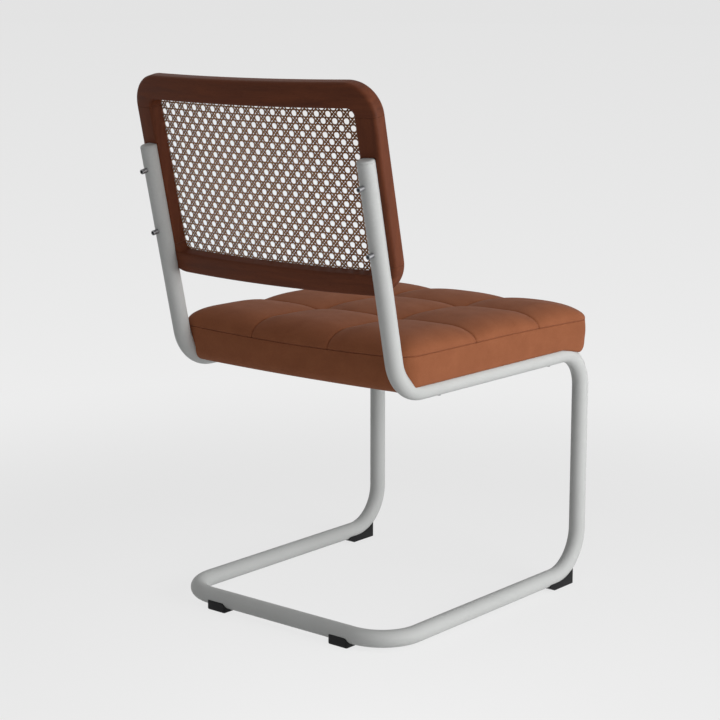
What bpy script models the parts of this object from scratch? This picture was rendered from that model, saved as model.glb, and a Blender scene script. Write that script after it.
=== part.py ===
# Side chair: one bent steel tube carries a caned wooden back and an upholstered seat.
# The chair faces -Y and is the same on both sides of the plane x = 0. The sitter's left is +X.
# The origin is on the floor, below the middle of the chair's overall width and depth.

import math

import bmesh
import bpy
import numpy as np
from mathutils import Matrix, Vector

# Sizes of the tube frame, in metres
tube_diameter = 0.025
tube_wall = 0.002
post_spacing = 0.404            # between the centre lines of the two posts
rail_height = 0.3668            # centre line of the seat rails above the floor
tube_above_floor = 0.0055       # how high the glides hold the tube
leg_to_floor_bar = 0.469
leg_to_post = 0.449             # from the front leg to where the post's line meets the rail's
post_lean = math.radians(12.16)
post_length = 0.3285            # along the post, from the rail's centre line to the tube's end
rear_bend_radius = 0.059
front_bend_radius = 0.056
foot_bend_radius = 0.067
corner_bend_radius = 0.062
bend_step = math.pi / 14
tube_sides = 18
bore_sides = 9
cutter_sides = 12               # of the cutters that make room for the tube
hole_sides = 8
turned_sides = 12

# Sizes of the end plugs
plug_height = 0.0038
plug_edge_radius = 0.0035
plug_shank_length = 0.014
end_chamfer = 0.001             # on the ends of shanks

# Sizes of the wooden back, heights measured along the posts from the rail's centre line
back_side_overhang = 0.0195      # beyond the posts' centre lines
back_bottom = 0.1397
back_top = 0.4324
back_thickness = 0.0245
back_curve_radius = 1.65        # hollow towards the sitter
post_let_in = 0.0072            # how deep the posts lie in the wood
top_rail_depth = 0.0351
bottom_rail_depth = 0.0299
stile_width = 0.0335
top_corner_radius = 0.047
bottom_corner_radius = 0.048
opening_corner_radius = 0.012
back_rear_edge_radius = 0.0048
back_front_edge_radius = 0.0085
opening_edge_radius = 0.0045     # on its rear edge
back_station_step = 0.028
corner_steps = 5

# Sizes of the cane and of the rebate and groove that hold it
rebate_width = 0.010
rebate_depth = 0.003
groove_width = 0.005
groove_depth = 0.004
spline_setback = 0.0006         # of the spline's middle behind the wood's face
spline_crown = 0.0008
cane_thickness = 0.0013
cane_border = 0.004             # solid edge that shows inside the opening
cane_cells_across = 28
cane_cells_up = 16
strand_width = 0.0048

# Sizes of the loose tenons at the corners of the back
tenon_width = 0.013
tenon_thickness = 0.006
tenon_length = 0.022
tenon_setback = 0.001           # outwards from the rebate
tenon_depth_share = 0.45        # its middle, as a share of the wood's thickness

# Sizes of the fasteners
back_screw_heights = (0.2058, 0.2975)
back_screw_diameter = 0.006
back_screw_head_diameter = 0.0072
back_screw_head_height = 0.010
back_screw_grip = 0.0075        # how far the shank reaches into the wood
back_screw_head_shape = ((0, 1), (0.82, 1), (0.96, 0.86), (1, 0.62), (0.6, 0.56))
insert_diameter = 0.010
insert_length = 0.008
seat_screw_diameter = 0.005
seat_screw_head_diameter = 0.010
seat_screw_head_height = 0.0012
seat_screw_grip = 0.008
seat_screw_head_shape = ((1, 0.6), (0.6, 0.94), (0, 1))
seat_screw_point_length = 0.003
seat_screw_point_radius = 0.0008
seat_screw_front_setback = 0.090    # behind the front leg
seat_screw_rear_setback = 0.360
hole_clearance = 0.0003
hole_spare_depth = 0.001        # beyond a screw's or an insert's end
cutter_run = 0.002              # how far a cutter starts before the face that it cuts

# Sizes of the seat, heights measured from the rail's centre line
seat_side_overhang = 0.015      # beyond the rails' centre lines
seat_front_overhang = 0.020     # ahead of the front legs' centre line
seat_rear_gap = 0.0015          # ahead of where the post's line meets the rail's
seat_front_corner_radius = 0.042
seat_rear_corner_radius = 0.034
seat_rear_bow = 0.010
seat_front_bow = 0.003
boxing_height = 0.054           # the seam round the seat's side
seam_height = 0.077             # bottom of the sewn channels
crown_height = 0.087            # top of the pads
boxing_front_drop = 0.006       # how much lower the boxing seam runs at the front
boxing_rear_rise = 0.005
top_front_drop = 0.017          # how much lower the top is at the front
top_edge_radius = 0.026
crown_reach = 0.062             # how far a pad keeps rising from its seam or edge
crown_fullness = 2.2
crown_squareness = 0.7
inset_reach = 0.050             # from the edge, where a smaller copy of the shape is drawn in
tuck_first_share = 0.3
rear_wall_draw = 0.006          # how much the rear wall leans in towards its foot
cover_thickness = 0.0015
cover_bottom = -0.001
cover_side_bottom = 0.011
side_tuck = 0.007
front_tuck = 0.015
rear_tuck = 0.020
cover_lip = 0.0007
foam_gap = 0.0005
board_bottom = 0.001
board_top = 0.025
dust_cover_thickness = 0.001
dust_cover_side_gap = 0.0015    # from the cloth that lines the rails
dust_cover_end_gap = 0.003
under_reach = 0.030             # how far the cutters for the seat's hollows reach below it

# Sizes of the glides
rear_glide_length = 0.036
rear_glide_width = 0.025
rear_glide_bevel = 0.0025
rear_glide_offset = 0.119       # from the middle of the floor bar
front_glide_width = 0.022
front_glide_setback = 0.0245    # its front face behind the leg's centre line
front_glide_length = 0.0615
front_glide_flat = 0.0495       # length that stands on the floor
front_glide_tail_rise = 0.0055
rear_glide_corner_radius = 0.0035
glide_bevel = 0.001
saddle_steps = 5
peg_diameter = 0.0054
peg_length = 0.009
peg_root = 0.003                # how deep the peg is rooted in the glide
peg_sides = 10
front_peg_setback = 0.052

touch_gap = 0.0003              # between pieces that touch

# Values that follow from the sizes
tube_radius = tube_diameter / 2
half_spacing = post_spacing / 2
back_width = post_spacing + 2 * back_side_overhang
seat_width = post_spacing + 2 * seat_side_overhang
seat_depth = seat_front_overhang + leg_to_post - seat_rear_gap
runner_height = tube_above_floor + tube_radius
back_rear_face = post_let_in - tube_radius + half_spacing ** 2 / (2 * back_curve_radius)
back_front_face = back_rear_face - back_thickness
opening_half_width = back_width / 2 - stile_width
opening_top = back_top - top_rail_depth
opening_bottom = back_bottom + bottom_rail_depth
top_joint = opening_top - opening_corner_radius
bottom_joint = opening_bottom + opening_corner_radius

# The front-to-back places follow from the chair's overall depth, which the origin halves
lean_sin = math.sin(post_lean)
lean_cos = math.cos(post_lean)
rear_reach = (
    (back_top - back_rear_edge_radius) * lean_sin
    + (back_rear_face - back_rear_edge_radius) * lean_cos
    + back_rear_edge_radius
)
front_reach = seat_front_overhang + seat_front_bow
leg_y = (front_reach - leg_to_post - rear_reach) / 2
post_foot_y = leg_y + leg_to_post
floor_bar_y = leg_y + leg_to_floor_bar
seat_front = leg_y - seat_front_overhang
seat_rear = seat_front + seat_depth
back_screw_names = ("lower", "upper")
sides = (("left", 1), ("right", -1))

post_foot = Vector((0, post_foot_y, rail_height))
up_the_post = Vector((0, lean_sin, lean_cos))
behind_the_post = Vector((0, lean_cos, -lean_sin))


def clear_scene():
    for old in list(bpy.data.objects):
        bpy.data.objects.remove(old, do_unlink=True)


def make_material(name, color, roughness, metallic=0.0):
    material = bpy.data.materials.new(name)
    material.use_nodes = True
    shader = material.node_tree.nodes["Principled BSDF"]
    shader.inputs["Base Color"].default_value = (*color, 1)
    shader.inputs["Roughness"].default_value = roughness
    shader.inputs["Metallic"].default_value = metallic
    material.diffuse_color = (*color, 1)
    return material


def make_object(name, points, faces, material=None, sharp_angle=35):
    """Makes one closed body from its points and faces, with its faces pointing out."""
    mesh = bpy.data.meshes.new(name)
    mesh.from_pydata([tuple(point) for point in points], [], faces)
    shape = bmesh.new()
    shape.from_mesh(mesh)
    bmesh.ops.recalc_face_normals(shape, faces=shape.faces)
    shape.to_mesh(mesh)
    shape.free()
    mesh.shade_smooth()
    mesh.set_sharp_from_angle(angle=math.radians(sharp_angle))
    item = bpy.data.objects.new(name, mesh)
    bpy.context.scene.collection.objects.link(item)
    if material:
        mesh.materials.append(material)
    return item


def make_cutter(name, points, faces):
    cutter = make_object(name, points, faces)
    cutter.hide_render = True
    cutter.display_type = "WIRE"
    return cutter


def cut(target, *cutters):
    for cutter in cutters:
        modifier = target.modifiers.new(cutter.name, "BOOLEAN")
        modifier.operation = "DIFFERENCE"
        modifier.solver = "EXACT"
        modifier.object = cutter


def ring_faces(first, second, count):
    """Joins two closed rings of points, given by their first indices, with four-sided faces."""
    return [
        (first + k, first + (k + 1) % count, second + (k + 1) % count, second + k)
        for k in range(count)
    ]


def lofted(rings, closed=False):
    """Points and faces of a body through rings of equal count, capped at its ends or closed."""
    count = len(rings[0])
    points = [point for ring in rings for point in ring]
    faces = []
    for k in range(len(rings) - 1):
        faces += ring_faces(k * count, (k + 1) * count, count)
    if closed:
        faces += ring_faces((len(rings) - 1) * count, 0, count)
    else:
        faces.append(tuple(range(count)))
        faces.append(tuple((len(rings) - 1) * count + k for k in range(count)))
    return points, faces


def turned(profile, start, axis, count):
    """A body turned round an axis from (distance along, radius) pairs, capped at both ends."""
    across = axis.orthogonal().normalized()
    other = axis.cross(across)
    rings = []
    for along, radius in profile:
        centre = start + axis * along
        angles = [2 * math.pi * k / count for k in range(count)]
        rings.append([centre + radius * (math.cos(a) * across + math.sin(a) * other) for a in angles])
    return lofted(rings)


# Tube frame

def bent_path(corners, radii):
    """Centre line through the corners with a round bend at each: pairs of point and direction."""
    path = [(corners[0], (corners[1] - corners[0]).normalized())]
    for k, radius in enumerate(radii, start=1):
        inward = (corners[k] - corners[k - 1]).normalized()
        outward = (corners[k + 1] - corners[k]).normalized()
        turn = inward.angle(outward)
        axis = inward.cross(outward).normalized()
        start = corners[k] - inward * radius * math.tan(turn / 2)
        centre = start + axis.cross(inward) * radius
        steps = max(2, round(turn / bend_step))
        for step in range(steps + 1):
            rotation = Matrix.Rotation(turn * step / steps, 3, axis)
            path.append((centre + rotation @ (start - centre), rotation @ inward))
    path.append((corners[-1], (corners[-1] - corners[-2]).normalized()))
    return path


def frame_path():
    """The tube's centre line from the top of the left post round to the top of the right one."""
    half_route = []
    for x in (half_spacing, -half_spacing):
        across = Vector((x, 0, 0))
        half_route.append([
            across + post_foot + up_the_post * post_length,
            across + post_foot,
            Vector((x, leg_y, rail_height)),
            Vector((x, leg_y, runner_height)),
            Vector((x, floor_bar_y, runner_height)),
        ])
    corners = half_route[0] + half_route[1][::-1]
    radii = [rear_bend_radius, front_bend_radius, foot_bend_radius, corner_bend_radius]
    return bent_path(corners, radii + radii[::-1])


def swept_rings(path, radius, count):
    rings = []
    normal = Vector((1, 0, 0))
    for point, direction in path:
        normal = (normal - direction * normal.dot(direction)).normalized()
        other = direction.cross(normal)
        angles = [2 * math.pi * k / count for k in range(count)]
        rings.append([point + radius * (math.cos(a) * normal + math.sin(a) * other) for a in angles])
    return rings


def tube_cutter(name, clearance):
    """A solid copy of the tube, fatter by a clearance, that makes room for it in other pieces."""
    radius = (tube_radius + clearance) / math.cos(math.pi / cutter_sides)
    return make_cutter(name, *lofted(swept_rings(frame_path(), radius, cutter_sides)))


def round_cutter(name, start, end, diameter):
    axis = end - start
    radius = diameter / 2 / math.cos(math.pi / hole_sides)
    profile = [(0, radius), (axis.length, radius)]
    return make_cutter(name, *turned(profile, start, axis.normalized(), hole_sides))


def on_post(side_sign, height, depth=0.0):
    """A point on a post's centre line, or that far behind it."""
    across = Vector((side_sign * half_spacing, 0, 0))
    return across + post_foot + up_the_post * height + behind_the_post * depth


def seat_screw_places():
    for side, sign in sides:
        for end, setback in (("front", seat_screw_front_setback), ("rear", seat_screw_rear_setback)):
            yield end + "_" + side, Vector((sign * half_spacing, leg_y + setback, rail_height))


def back_screw_places():
    for side, sign in sides:
        for level, height in zip(back_screw_names, back_screw_heights):
            yield level + "_" + side, on_post(sign, height)


def front_peg_place(sign):
    """The tube's centre above the peg of a front glide, on the bend from leg to runner."""
    along = foot_bend_radius - front_peg_setback
    drop = math.sqrt(foot_bend_radius ** 2 - along ** 2)
    y = leg_y + front_peg_setback
    return Vector((sign * half_spacing, y, runner_height + foot_bend_radius - drop))


def glide_peg_places():
    for side, sign in sides:
        yield "front_glide_" + side, front_peg_place(sign)
        yield "rear_glide_" + side, Vector((sign * rear_glide_offset, floor_bar_y, runner_height))


def make_frame_tube(material):
    """One hollow tube, open at both ends and drilled for its fasteners and glide pegs."""
    path = frame_path()
    outer = swept_rings(path, tube_radius, tube_sides)
    inner = swept_rings(path, tube_radius - tube_wall, bore_sides)
    points = [point for ring in outer + inner for point in ring]
    faces = []
    first_inner = len(outer) * tube_sides
    for k in range(len(path) - 1):
        faces += ring_faces(k * tube_sides, (k + 1) * tube_sides, tube_sides)
        start = first_inner + k * bore_sides
        faces += ring_faces(start + bore_sides, start, bore_sides)
    for k in (0, len(path) - 1):
        outer_start = k * tube_sides
        inner_start = first_inner + k * bore_sides
        for j in range(bore_sides):
            here = outer_start + 2 * j
            after = outer_start + (2 * j + 2) % tube_sides
            bore_here = inner_start + j
            bore_after = inner_start + (j + 1) % bore_sides
            faces.append((here, here + 1, bore_here))
            faces.append((here + 1, after, bore_after))
            faces.append((here + 1, bore_after, bore_here))
    tube = make_object("frame_tube", points, faces, material)
    reach = behind_the_post * tube_diameter
    for place, centre in back_screw_places():
        hole = back_screw_diameter + 2 * hole_clearance
        cut(tube, round_cutter("tube_hole_" + place, centre - reach, centre + reach, hole))
    drop = Vector((0, 0, tube_diameter))
    for place, centre in seat_screw_places():
        hole = seat_screw_diameter + 2 * hole_clearance
        cut(tube, round_cutter("rail_hole_" + place, centre - drop, centre + drop, hole))
    for place, centre in glide_peg_places():
        hole = peg_diameter + 2 * hole_clearance
        cut(tube, round_cutter("peg_hole_" + place, centre - drop, centre, hole))
    return tube


def make_end_plug(side, sign, material):
    """A domed plug with a shank in the tube's bore."""
    bore_flat = (tube_radius - tube_wall) * math.cos(math.pi / bore_sides)
    shank_radius = bore_flat - touch_gap
    profile = [
        (-plug_shank_length, shank_radius - end_chamfer),
        (-plug_shank_length + end_chamfer, shank_radius),
        (touch_gap, shank_radius),
        (touch_gap, tube_radius),
    ]
    for k in range(4):
        angle = math.pi / 2 * k / 3
        profile.append((
            plug_height - plug_edge_radius + plug_edge_radius * math.sin(angle),
            tube_radius - plug_edge_radius + plug_edge_radius * math.cos(angle),
        ))
    points, faces = turned(profile, on_post(sign, post_length), up_the_post, tube_sides)
    return make_object("tube_end_plug_" + side, points, faces, material)


# Wooden back, drawn flat as (across, height, depth) and then laid on the curve of the back

def on_back(across, height, depth):
    """Places a point of the back: depth is measured rearwards from its front face."""
    sag = across ** 2 / (2 * back_curve_radius)
    offset = back_front_face + depth - sag
    return Vector((across, 0, 0)) + post_foot + up_the_post * height + behind_the_post * offset


def outer_edge(sign, height):
    """The point and outward direction of the back's outer edge at a height on one side."""
    half = back_width / 2
    for radius, centre in (
        (top_corner_radius, back_top - top_corner_radius),
        (bottom_corner_radius, back_bottom + bottom_corner_radius),
    ):
        rise = height - centre
        if (rise > 0) == (radius == top_corner_radius) and abs(rise) < radius:
            across = math.sqrt(radius ** 2 - rise ** 2)
            direction = (sign * across / radius, rise / radius)
            return (sign * (half - radius + across), height), direction
    return (sign * half, height), (sign, 0)


def rail_stations(top):
    """Across a rail from left to right: inner point, outward, outer point, outward."""
    turn = 1 if top else -1
    inner_height = opening_top if top else opening_bottom
    outer_height = back_top if top else back_bottom
    outer_radius = top_corner_radius if top else bottom_corner_radius
    joint = top_joint if top else bottom_joint
    inner_x = opening_half_width - opening_corner_radius
    outer_x = back_width / 2 - outer_radius
    outer_centre = outer_height - turn * outer_radius
    start = math.asin(max(-1.0, min(1.0, turn * (joint - outer_centre) / outer_radius)))
    half = []
    for k in range(corner_steps + 1):
        share = k / corner_steps
        inner_angle = share * math.pi / 2
        outer_angle = start + share * (math.pi / 2 - start)
        inward = (math.cos(inner_angle), turn * math.sin(inner_angle))
        outward = (math.cos(outer_angle), turn * math.sin(outer_angle))
        half.append((
            (inner_x + opening_corner_radius * inward[0],
             inner_height + opening_corner_radius * (inward[1] - turn)),
            inward,
            (outer_x + outer_radius * outward[0], outer_centre + outer_radius * outward[1]),
            outward if k else (1, 0),
        ))
    straight_steps = max(2, round(2 * inner_x / back_station_step))
    middle = []
    for k in range(1, straight_steps):
        share = 1 - 2 * k / straight_steps
        middle.append(((share * inner_x, inner_height), (0, turn), (share * outer_x, outer_height), (0, turn)))
    mirrored = [tuple((-x, height) for x, height in station) for station in reversed(half)]
    return half + middle + mirrored


def stile_stations(sign):
    """Up a stile between the two rails: inner point, outward, outer point, outward."""
    low = bottom_joint + touch_gap
    high = top_joint - touch_gap
    curve_end = back_bottom + bottom_corner_radius
    heights = {low, high}
    for k in range(3):
        heights.add(low + (curve_end - low) * (k + 1) / 3)
    stations = []
    for height in sorted(heights):
        outer, outward = outer_edge(sign, height)
        if height in (low, high):
            outward = (sign, 0)
        stations.append(((sign * opening_half_width, height), (sign, 0), outer, outward))
    return stations


def edge_section():
    """Cross-section of the wood: which edge a point is measured from, how far, and its depth."""
    roundings = (
        ("opening", opening_edge_radius, back_thickness - opening_edge_radius, math.pi),
        ("outer", back_rear_edge_radius, back_thickness - back_rear_edge_radius, math.pi / 2),
        ("outer", back_front_edge_radius, back_front_edge_radius, 0),
    )
    section = []
    for edge, radius, centre_depth, start in roundings:
        for k in range(4):
            angle = start - math.pi / 2 * k / 3
            away = radius - radius * abs(math.cos(angle))
            section.append((edge, away, centre_depth + radius * math.sin(angle)))
    section += [
        ("opening", rebate_width, 0),
        ("opening", rebate_width, rebate_depth + groove_depth),
        ("opening", rebate_width - groove_width, rebate_depth + groove_depth),
        ("opening", rebate_width - groove_width, rebate_depth),
        ("opening", 0, rebate_depth),
    ]
    return section


def section_ring(station):
    """Carries the wood's cross-section from the opening to the outer edge, on the curved back."""
    inner, inner_out, outer, outer_out = station
    ring = []
    for edge, away, depth in edge_section():
        if edge == "opening":
            ring.append(on_back(inner[0] + inner_out[0] * away, inner[1] + inner_out[1] * away, depth))
        else:
            ring.append(on_back(outer[0] - outer_out[0] * away, outer[1] - outer_out[1] * away, depth))
    return ring


def wooden_bar(name, stations, material):
    return make_object(name, *lofted([section_ring(station) for station in stations]), material)


def post_groove_cutter(side, sign, clearance):
    """A round-ended cutter along the post, for the groove that the post lies in."""
    radius = tube_radius + clearance
    height = post_length + plug_height + 2 * clearance
    start = on_post(sign, back_bottom - bottom_corner_radius)
    length = height - (back_bottom - bottom_corner_radius)
    points, faces = turned([(0, radius), (length, radius)], start, up_the_post, tube_sides)
    return make_cutter("post_groove_" + side, points, faces)


def tenon_box(place, sign, joint, growth):
    """Points and faces of a loose tenon across a joint, or of its mortise with a growth."""
    across = sign * (opening_half_width + rebate_width + tenon_setback + tenon_width / 2)
    half = (
        tenon_width / 2 + growth,
        tenon_length / 2 + growth,
        tenon_thickness / 2 + growth,
    )
    centre = on_back(across, joint, back_thickness * tenon_depth_share)
    x_axis = Vector((1, 0, 0))
    corners = ((-1, -1), (1, -1), (1, 1), (-1, 1))
    rings = []
    for end in (-1, 1):
        middle = centre + up_the_post * end * half[1]
        rings.append([middle + x_axis * a * half[0] + behind_the_post * b * half[2] for a, b in corners])
    return lofted(rings)


def make_back(wood, tenon_wood):
    """Two full-width rails with rounded corners, and two stiles tenoned between them."""
    top_rail = wooden_bar("back_top_rail", rail_stations(True), wood)
    bottom_rail = wooden_bar("back_bottom_rail", rail_stations(False), wood)
    for side, sign in sides:
        stile = wooden_bar("back_stile_" + side, stile_stations(sign), wood)
        groove = post_groove_cutter(side, sign, touch_gap)
        cut(stile, groove)
        cut(bottom_rail, groove)
        for place, joint, rail in (("top", top_joint, top_rail), ("bottom", bottom_joint, bottom_rail)):
            name = "back_tenon_" + place + "_" + side
            make_object(name, *tenon_box(place, sign, joint, 0), tenon_wood)
            mortise = make_cutter("mortise_" + place + "_" + side, *tenon_box(place, sign, joint, touch_gap))
            cut(stile, mortise)
            cut(rail, mortise)
        for level, height in zip(back_screw_names, back_screw_heights):
            start = on_post(sign, height, cutter_run - tube_radius)
            depth = tube_radius + 2 * touch_gap + insert_length + hole_spare_depth
            end = on_post(sign, height, -depth)
            hole = insert_diameter + 2 * hole_clearance
            cut(stile, round_cutter("insert_hole_" + level + "_" + side, start, end, hole))


# Cane

def opening_stations():
    """Edge points of the opening with their outward directions, once round it."""
    stations = []
    inner_x = opening_half_width - opening_corner_radius
    low = opening_bottom + opening_corner_radius
    high = opening_top - opening_corner_radius
    centres = ((inner_x, high, 0), (-inner_x, high, 90), (-inner_x, low, 180), (inner_x, low, 270))
    across_steps = max(2, round(2 * inner_x / back_station_step))
    up_steps = 4
    for number, (x, height, start) in enumerate(centres):
        for k in range(corner_steps + 1):
            angle = math.radians(start + 90 * k / corner_steps)
            outward = (math.cos(angle), math.sin(angle))
            stations.append(((x + opening_corner_radius * outward[0],
                              height + opening_corner_radius * outward[1]), outward))
        next_x, next_height, _ = centres[(number + 1) % 4]
        steps = across_steps if number % 2 == 0 else up_steps
        for k in range(1, steps):
            share = k / steps
            angle = math.radians(start + 90)
            outward = (math.cos(angle), math.sin(angle))
            stations.append(((x + (next_x - x) * share + opening_corner_radius * outward[0],
                              height + (next_height - height) * share
                              + opening_corner_radius * outward[1]), outward))
    return stations


def rim_ring(station, section):
    (x, height), (out_x, out_height) = station
    return [on_back(x + out_x * away, height + out_height * away, depth) for away, depth in section]


def make_spline(material):
    """The wooden spline that wedges the cane's folded edge in its groove."""
    inner = rebate_width - groove_width + 2 * touch_gap + cane_thickness
    outer = rebate_width - touch_gap
    floor = rebate_depth + groove_depth - touch_gap
    middle = (inner + outer) / 2
    shoulder = spline_setback + spline_crown
    section = [
        (inner, floor),
        (outer, floor),
        (outer, shoulder),
        (middle, spline_setback),
        (inner, shoulder),
    ]
    rings = [rim_ring(station, section) for station in opening_stations()]
    return make_object("cane_spline", *lofted(rings, closed=True), material)


def loop_angle(x, height):
    middle = (opening_top + opening_bottom) / 2
    half_height = (opening_top - opening_bottom) / 2
    return math.atan2((height - middle) / half_height, x / opening_half_width) % (2 * math.pi)


def bridge_loops(loop_a, loop_b):
    """Triangles between two loops of (index, angle) pairs that both run once round."""
    loop_a = sorted(loop_a, key=lambda pair: pair[1])
    loop_b = sorted(loop_b, key=lambda pair: pair[1])
    a, b = 0, 0
    faces = []
    while a < len(loop_a) or b < len(loop_b):
        angle_a = loop_a[a + 1][1] if a + 1 < len(loop_a) else loop_a[0][1] + 2 * math.pi
        angle_b = loop_b[b + 1][1] if b + 1 < len(loop_b) else loop_b[0][1] + 2 * math.pi
        here_a = loop_a[a % len(loop_a)][0]
        here_b = loop_b[b % len(loop_b)][0]
        if b == len(loop_b) or (a < len(loop_a) and angle_a <= angle_b):
            a += 1
            faces.append((here_a, loop_a[a % len(loop_a)][0], here_b))
        else:
            b += 1
            faces.append((here_a, loop_b[b % len(loop_b)][0], here_b))
    return faces


def make_cane(material):
    """A flat net with square gaps set cornerwise, and an edge folded into the groove."""
    front_depth = rebate_depth - touch_gap - cane_thickness
    back_depth = rebate_depth - touch_gap
    fold_outer = rebate_width - groove_width + touch_gap + cane_thickness
    fold_inner = rebate_width - groove_width + touch_gap
    fold_floor = rebate_depth + groove_depth - touch_gap
    section = [
        (-cane_border / 2, front_depth),
        (fold_outer, front_depth),
        (fold_outer, fold_floor),
        (fold_inner, fold_floor),
        (fold_inner, back_depth),
        (-cane_border / 2, back_depth),
    ]
    stations = opening_stations()
    points = []
    faces = []
    count = len(section)
    for station in stations:
        points += rim_ring(station, section)
    for k in range(len(stations)):
        here = k * count
        after = (k + 1) % len(stations) * count
        for j in range(count - 1):
            faces.append((here + j, here + j + 1, after + j + 1, after + j))

    half_across = cane_cells_across // 2
    half_up = cane_cells_up // 2
    pitch_x = (opening_half_width - cane_border) / half_across
    pitch_up = ((opening_top - opening_bottom) / 2 - cane_border) / half_up
    middle = (opening_top + opening_bottom) / 2
    reach = 1 - strand_width / math.sqrt(2) / ((pitch_x + pitch_up) / 2)
    corners = ((1, 0), (0, 1), (-1, 0), (0, -1))
    index = {}

    def vertex(i, j, corner, layer):
        """The point at a net crossing, or at one of the four corners of its gap."""
        open_gap = abs(i) < half_across and abs(j) < half_up
        key = (i, j, corner if open_gap else None, layer)
        if key not in index:
            step = corners[corner] if open_gap else (0, 0)
            depth = front_depth if layer == 0 else back_depth
            index[key] = len(points)
            points.append(on_back((i + step[0] * reach) * pitch_x,
                                  middle + (j + step[1] * reach) * pitch_up, depth))
        return index[key]

    def tidy_face(*corner_points):
        unique = [p for k, p in enumerate(corner_points) if p != corner_points[k - 1]]
        if len(set(unique)) > 2:
            faces.append(tuple(unique))

    border = [[], []]
    for layer in (0, 1):
        for i in range(-half_across, half_across + 1):
            for j in range(-half_up, half_up + 1):
                even = (i + j) % 2 == 0
                inside = abs(i) < half_across and abs(j) < half_up
                if even and not inside:
                    here = vertex(i, j, 0, layer)
                    border[layer].append((here, loop_angle(i * pitch_x, middle + j * pitch_up)))
                if not even:
                    around = []
                    for direction in range(4):
                        step = corners[direction]
                        if abs(i + step[0]) <= half_across and abs(j + step[1]) <= half_up:
                            around.append(vertex(i + step[0], j + step[1], (direction + 2) % 4, layer))
                    tidy_face(*around)
                if i < half_across and j < half_up:
                    if even:
                        tidy_face(vertex(i, j, 0, layer), vertex(i + 1, j + 1, 3, layer),
                                  vertex(i + 1, j + 1, 2, layer), vertex(i, j, 1, layer))
                    else:
                        tidy_face(vertex(i + 1, j, 2, layer), vertex(i, j + 1, 3, layer),
                                  vertex(i, j + 1, 0, layer), vertex(i + 1, j, 1, layer))
    for i in range(-half_across + 1, half_across):
        for j in range(-half_up + 1, half_up):
            if (i + j) % 2 == 0:
                for corner in range(4):
                    after = (corner + 1) % 4
                    faces.append((vertex(i, j, corner, 0), vertex(i, j, after, 0),
                                  vertex(i, j, after, 1), vertex(i, j, corner, 1)))
    for layer, position in ((0, 0), (1, count - 1)):
        rim = []
        for k, ((x, height), (out_x, out_height)) in enumerate(stations):
            away = -cane_border / 2
            rim.append((k * count + position, loop_angle(x + out_x * away, height + out_height * away)))
        faces += bridge_loops(rim, border[layer])
    return make_object("cane_panel", points, faces, material)


# Fasteners of the back

def make_back_fasteners(steel, brass):
    """A round-headed screw through each post into a threaded insert in the stile."""
    forward = -behind_the_post
    for place, centre in back_screw_places():
        radius = back_screw_diameter / 2
        head_radius = back_screw_head_diameter / 2
        tip = tube_radius + back_screw_grip
        start = tube_radius + touch_gap
        profile = [
            (tip, radius - end_chamfer),
            (tip - end_chamfer, radius),
            (-start, radius),
        ]
        for height, width in back_screw_head_shape:
            profile.append((-start - back_screw_head_height * height, head_radius * width))
        points, faces = turned(profile, centre, forward, turned_sides)
        make_object("back_screw_" + place, points, faces, steel)
        bore = radius + hole_clearance
        outer = insert_diameter / 2
        near = tube_radius + 2 * touch_gap
        far = near + insert_length
        rings = [(near, bore), (near, outer), (far, outer), (far, bore)]
        points, faces = turned(rings, centre, forward, turned_sides)
        faces = faces[:-2] + ring_faces(3 * turned_sides, 0, turned_sides)
        make_object("back_insert_" + place, points, faces, brass)


# Seat

def seat_lines(low, high):
    """Grid lines across the seat: close together at the outer edge and beside each seam."""
    third = (high - low) / 3
    shares = ((0, 0.05, 0.18, 0.55, 0.88), (0, 0.12, 0.5, 0.88), (0, 0.12, 0.45, 0.82, 0.95))
    lines = []
    for number, group in enumerate(shares):
        lines += [low + third * (number + share) for share in group]
    return np.array(lines + [high])


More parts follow.
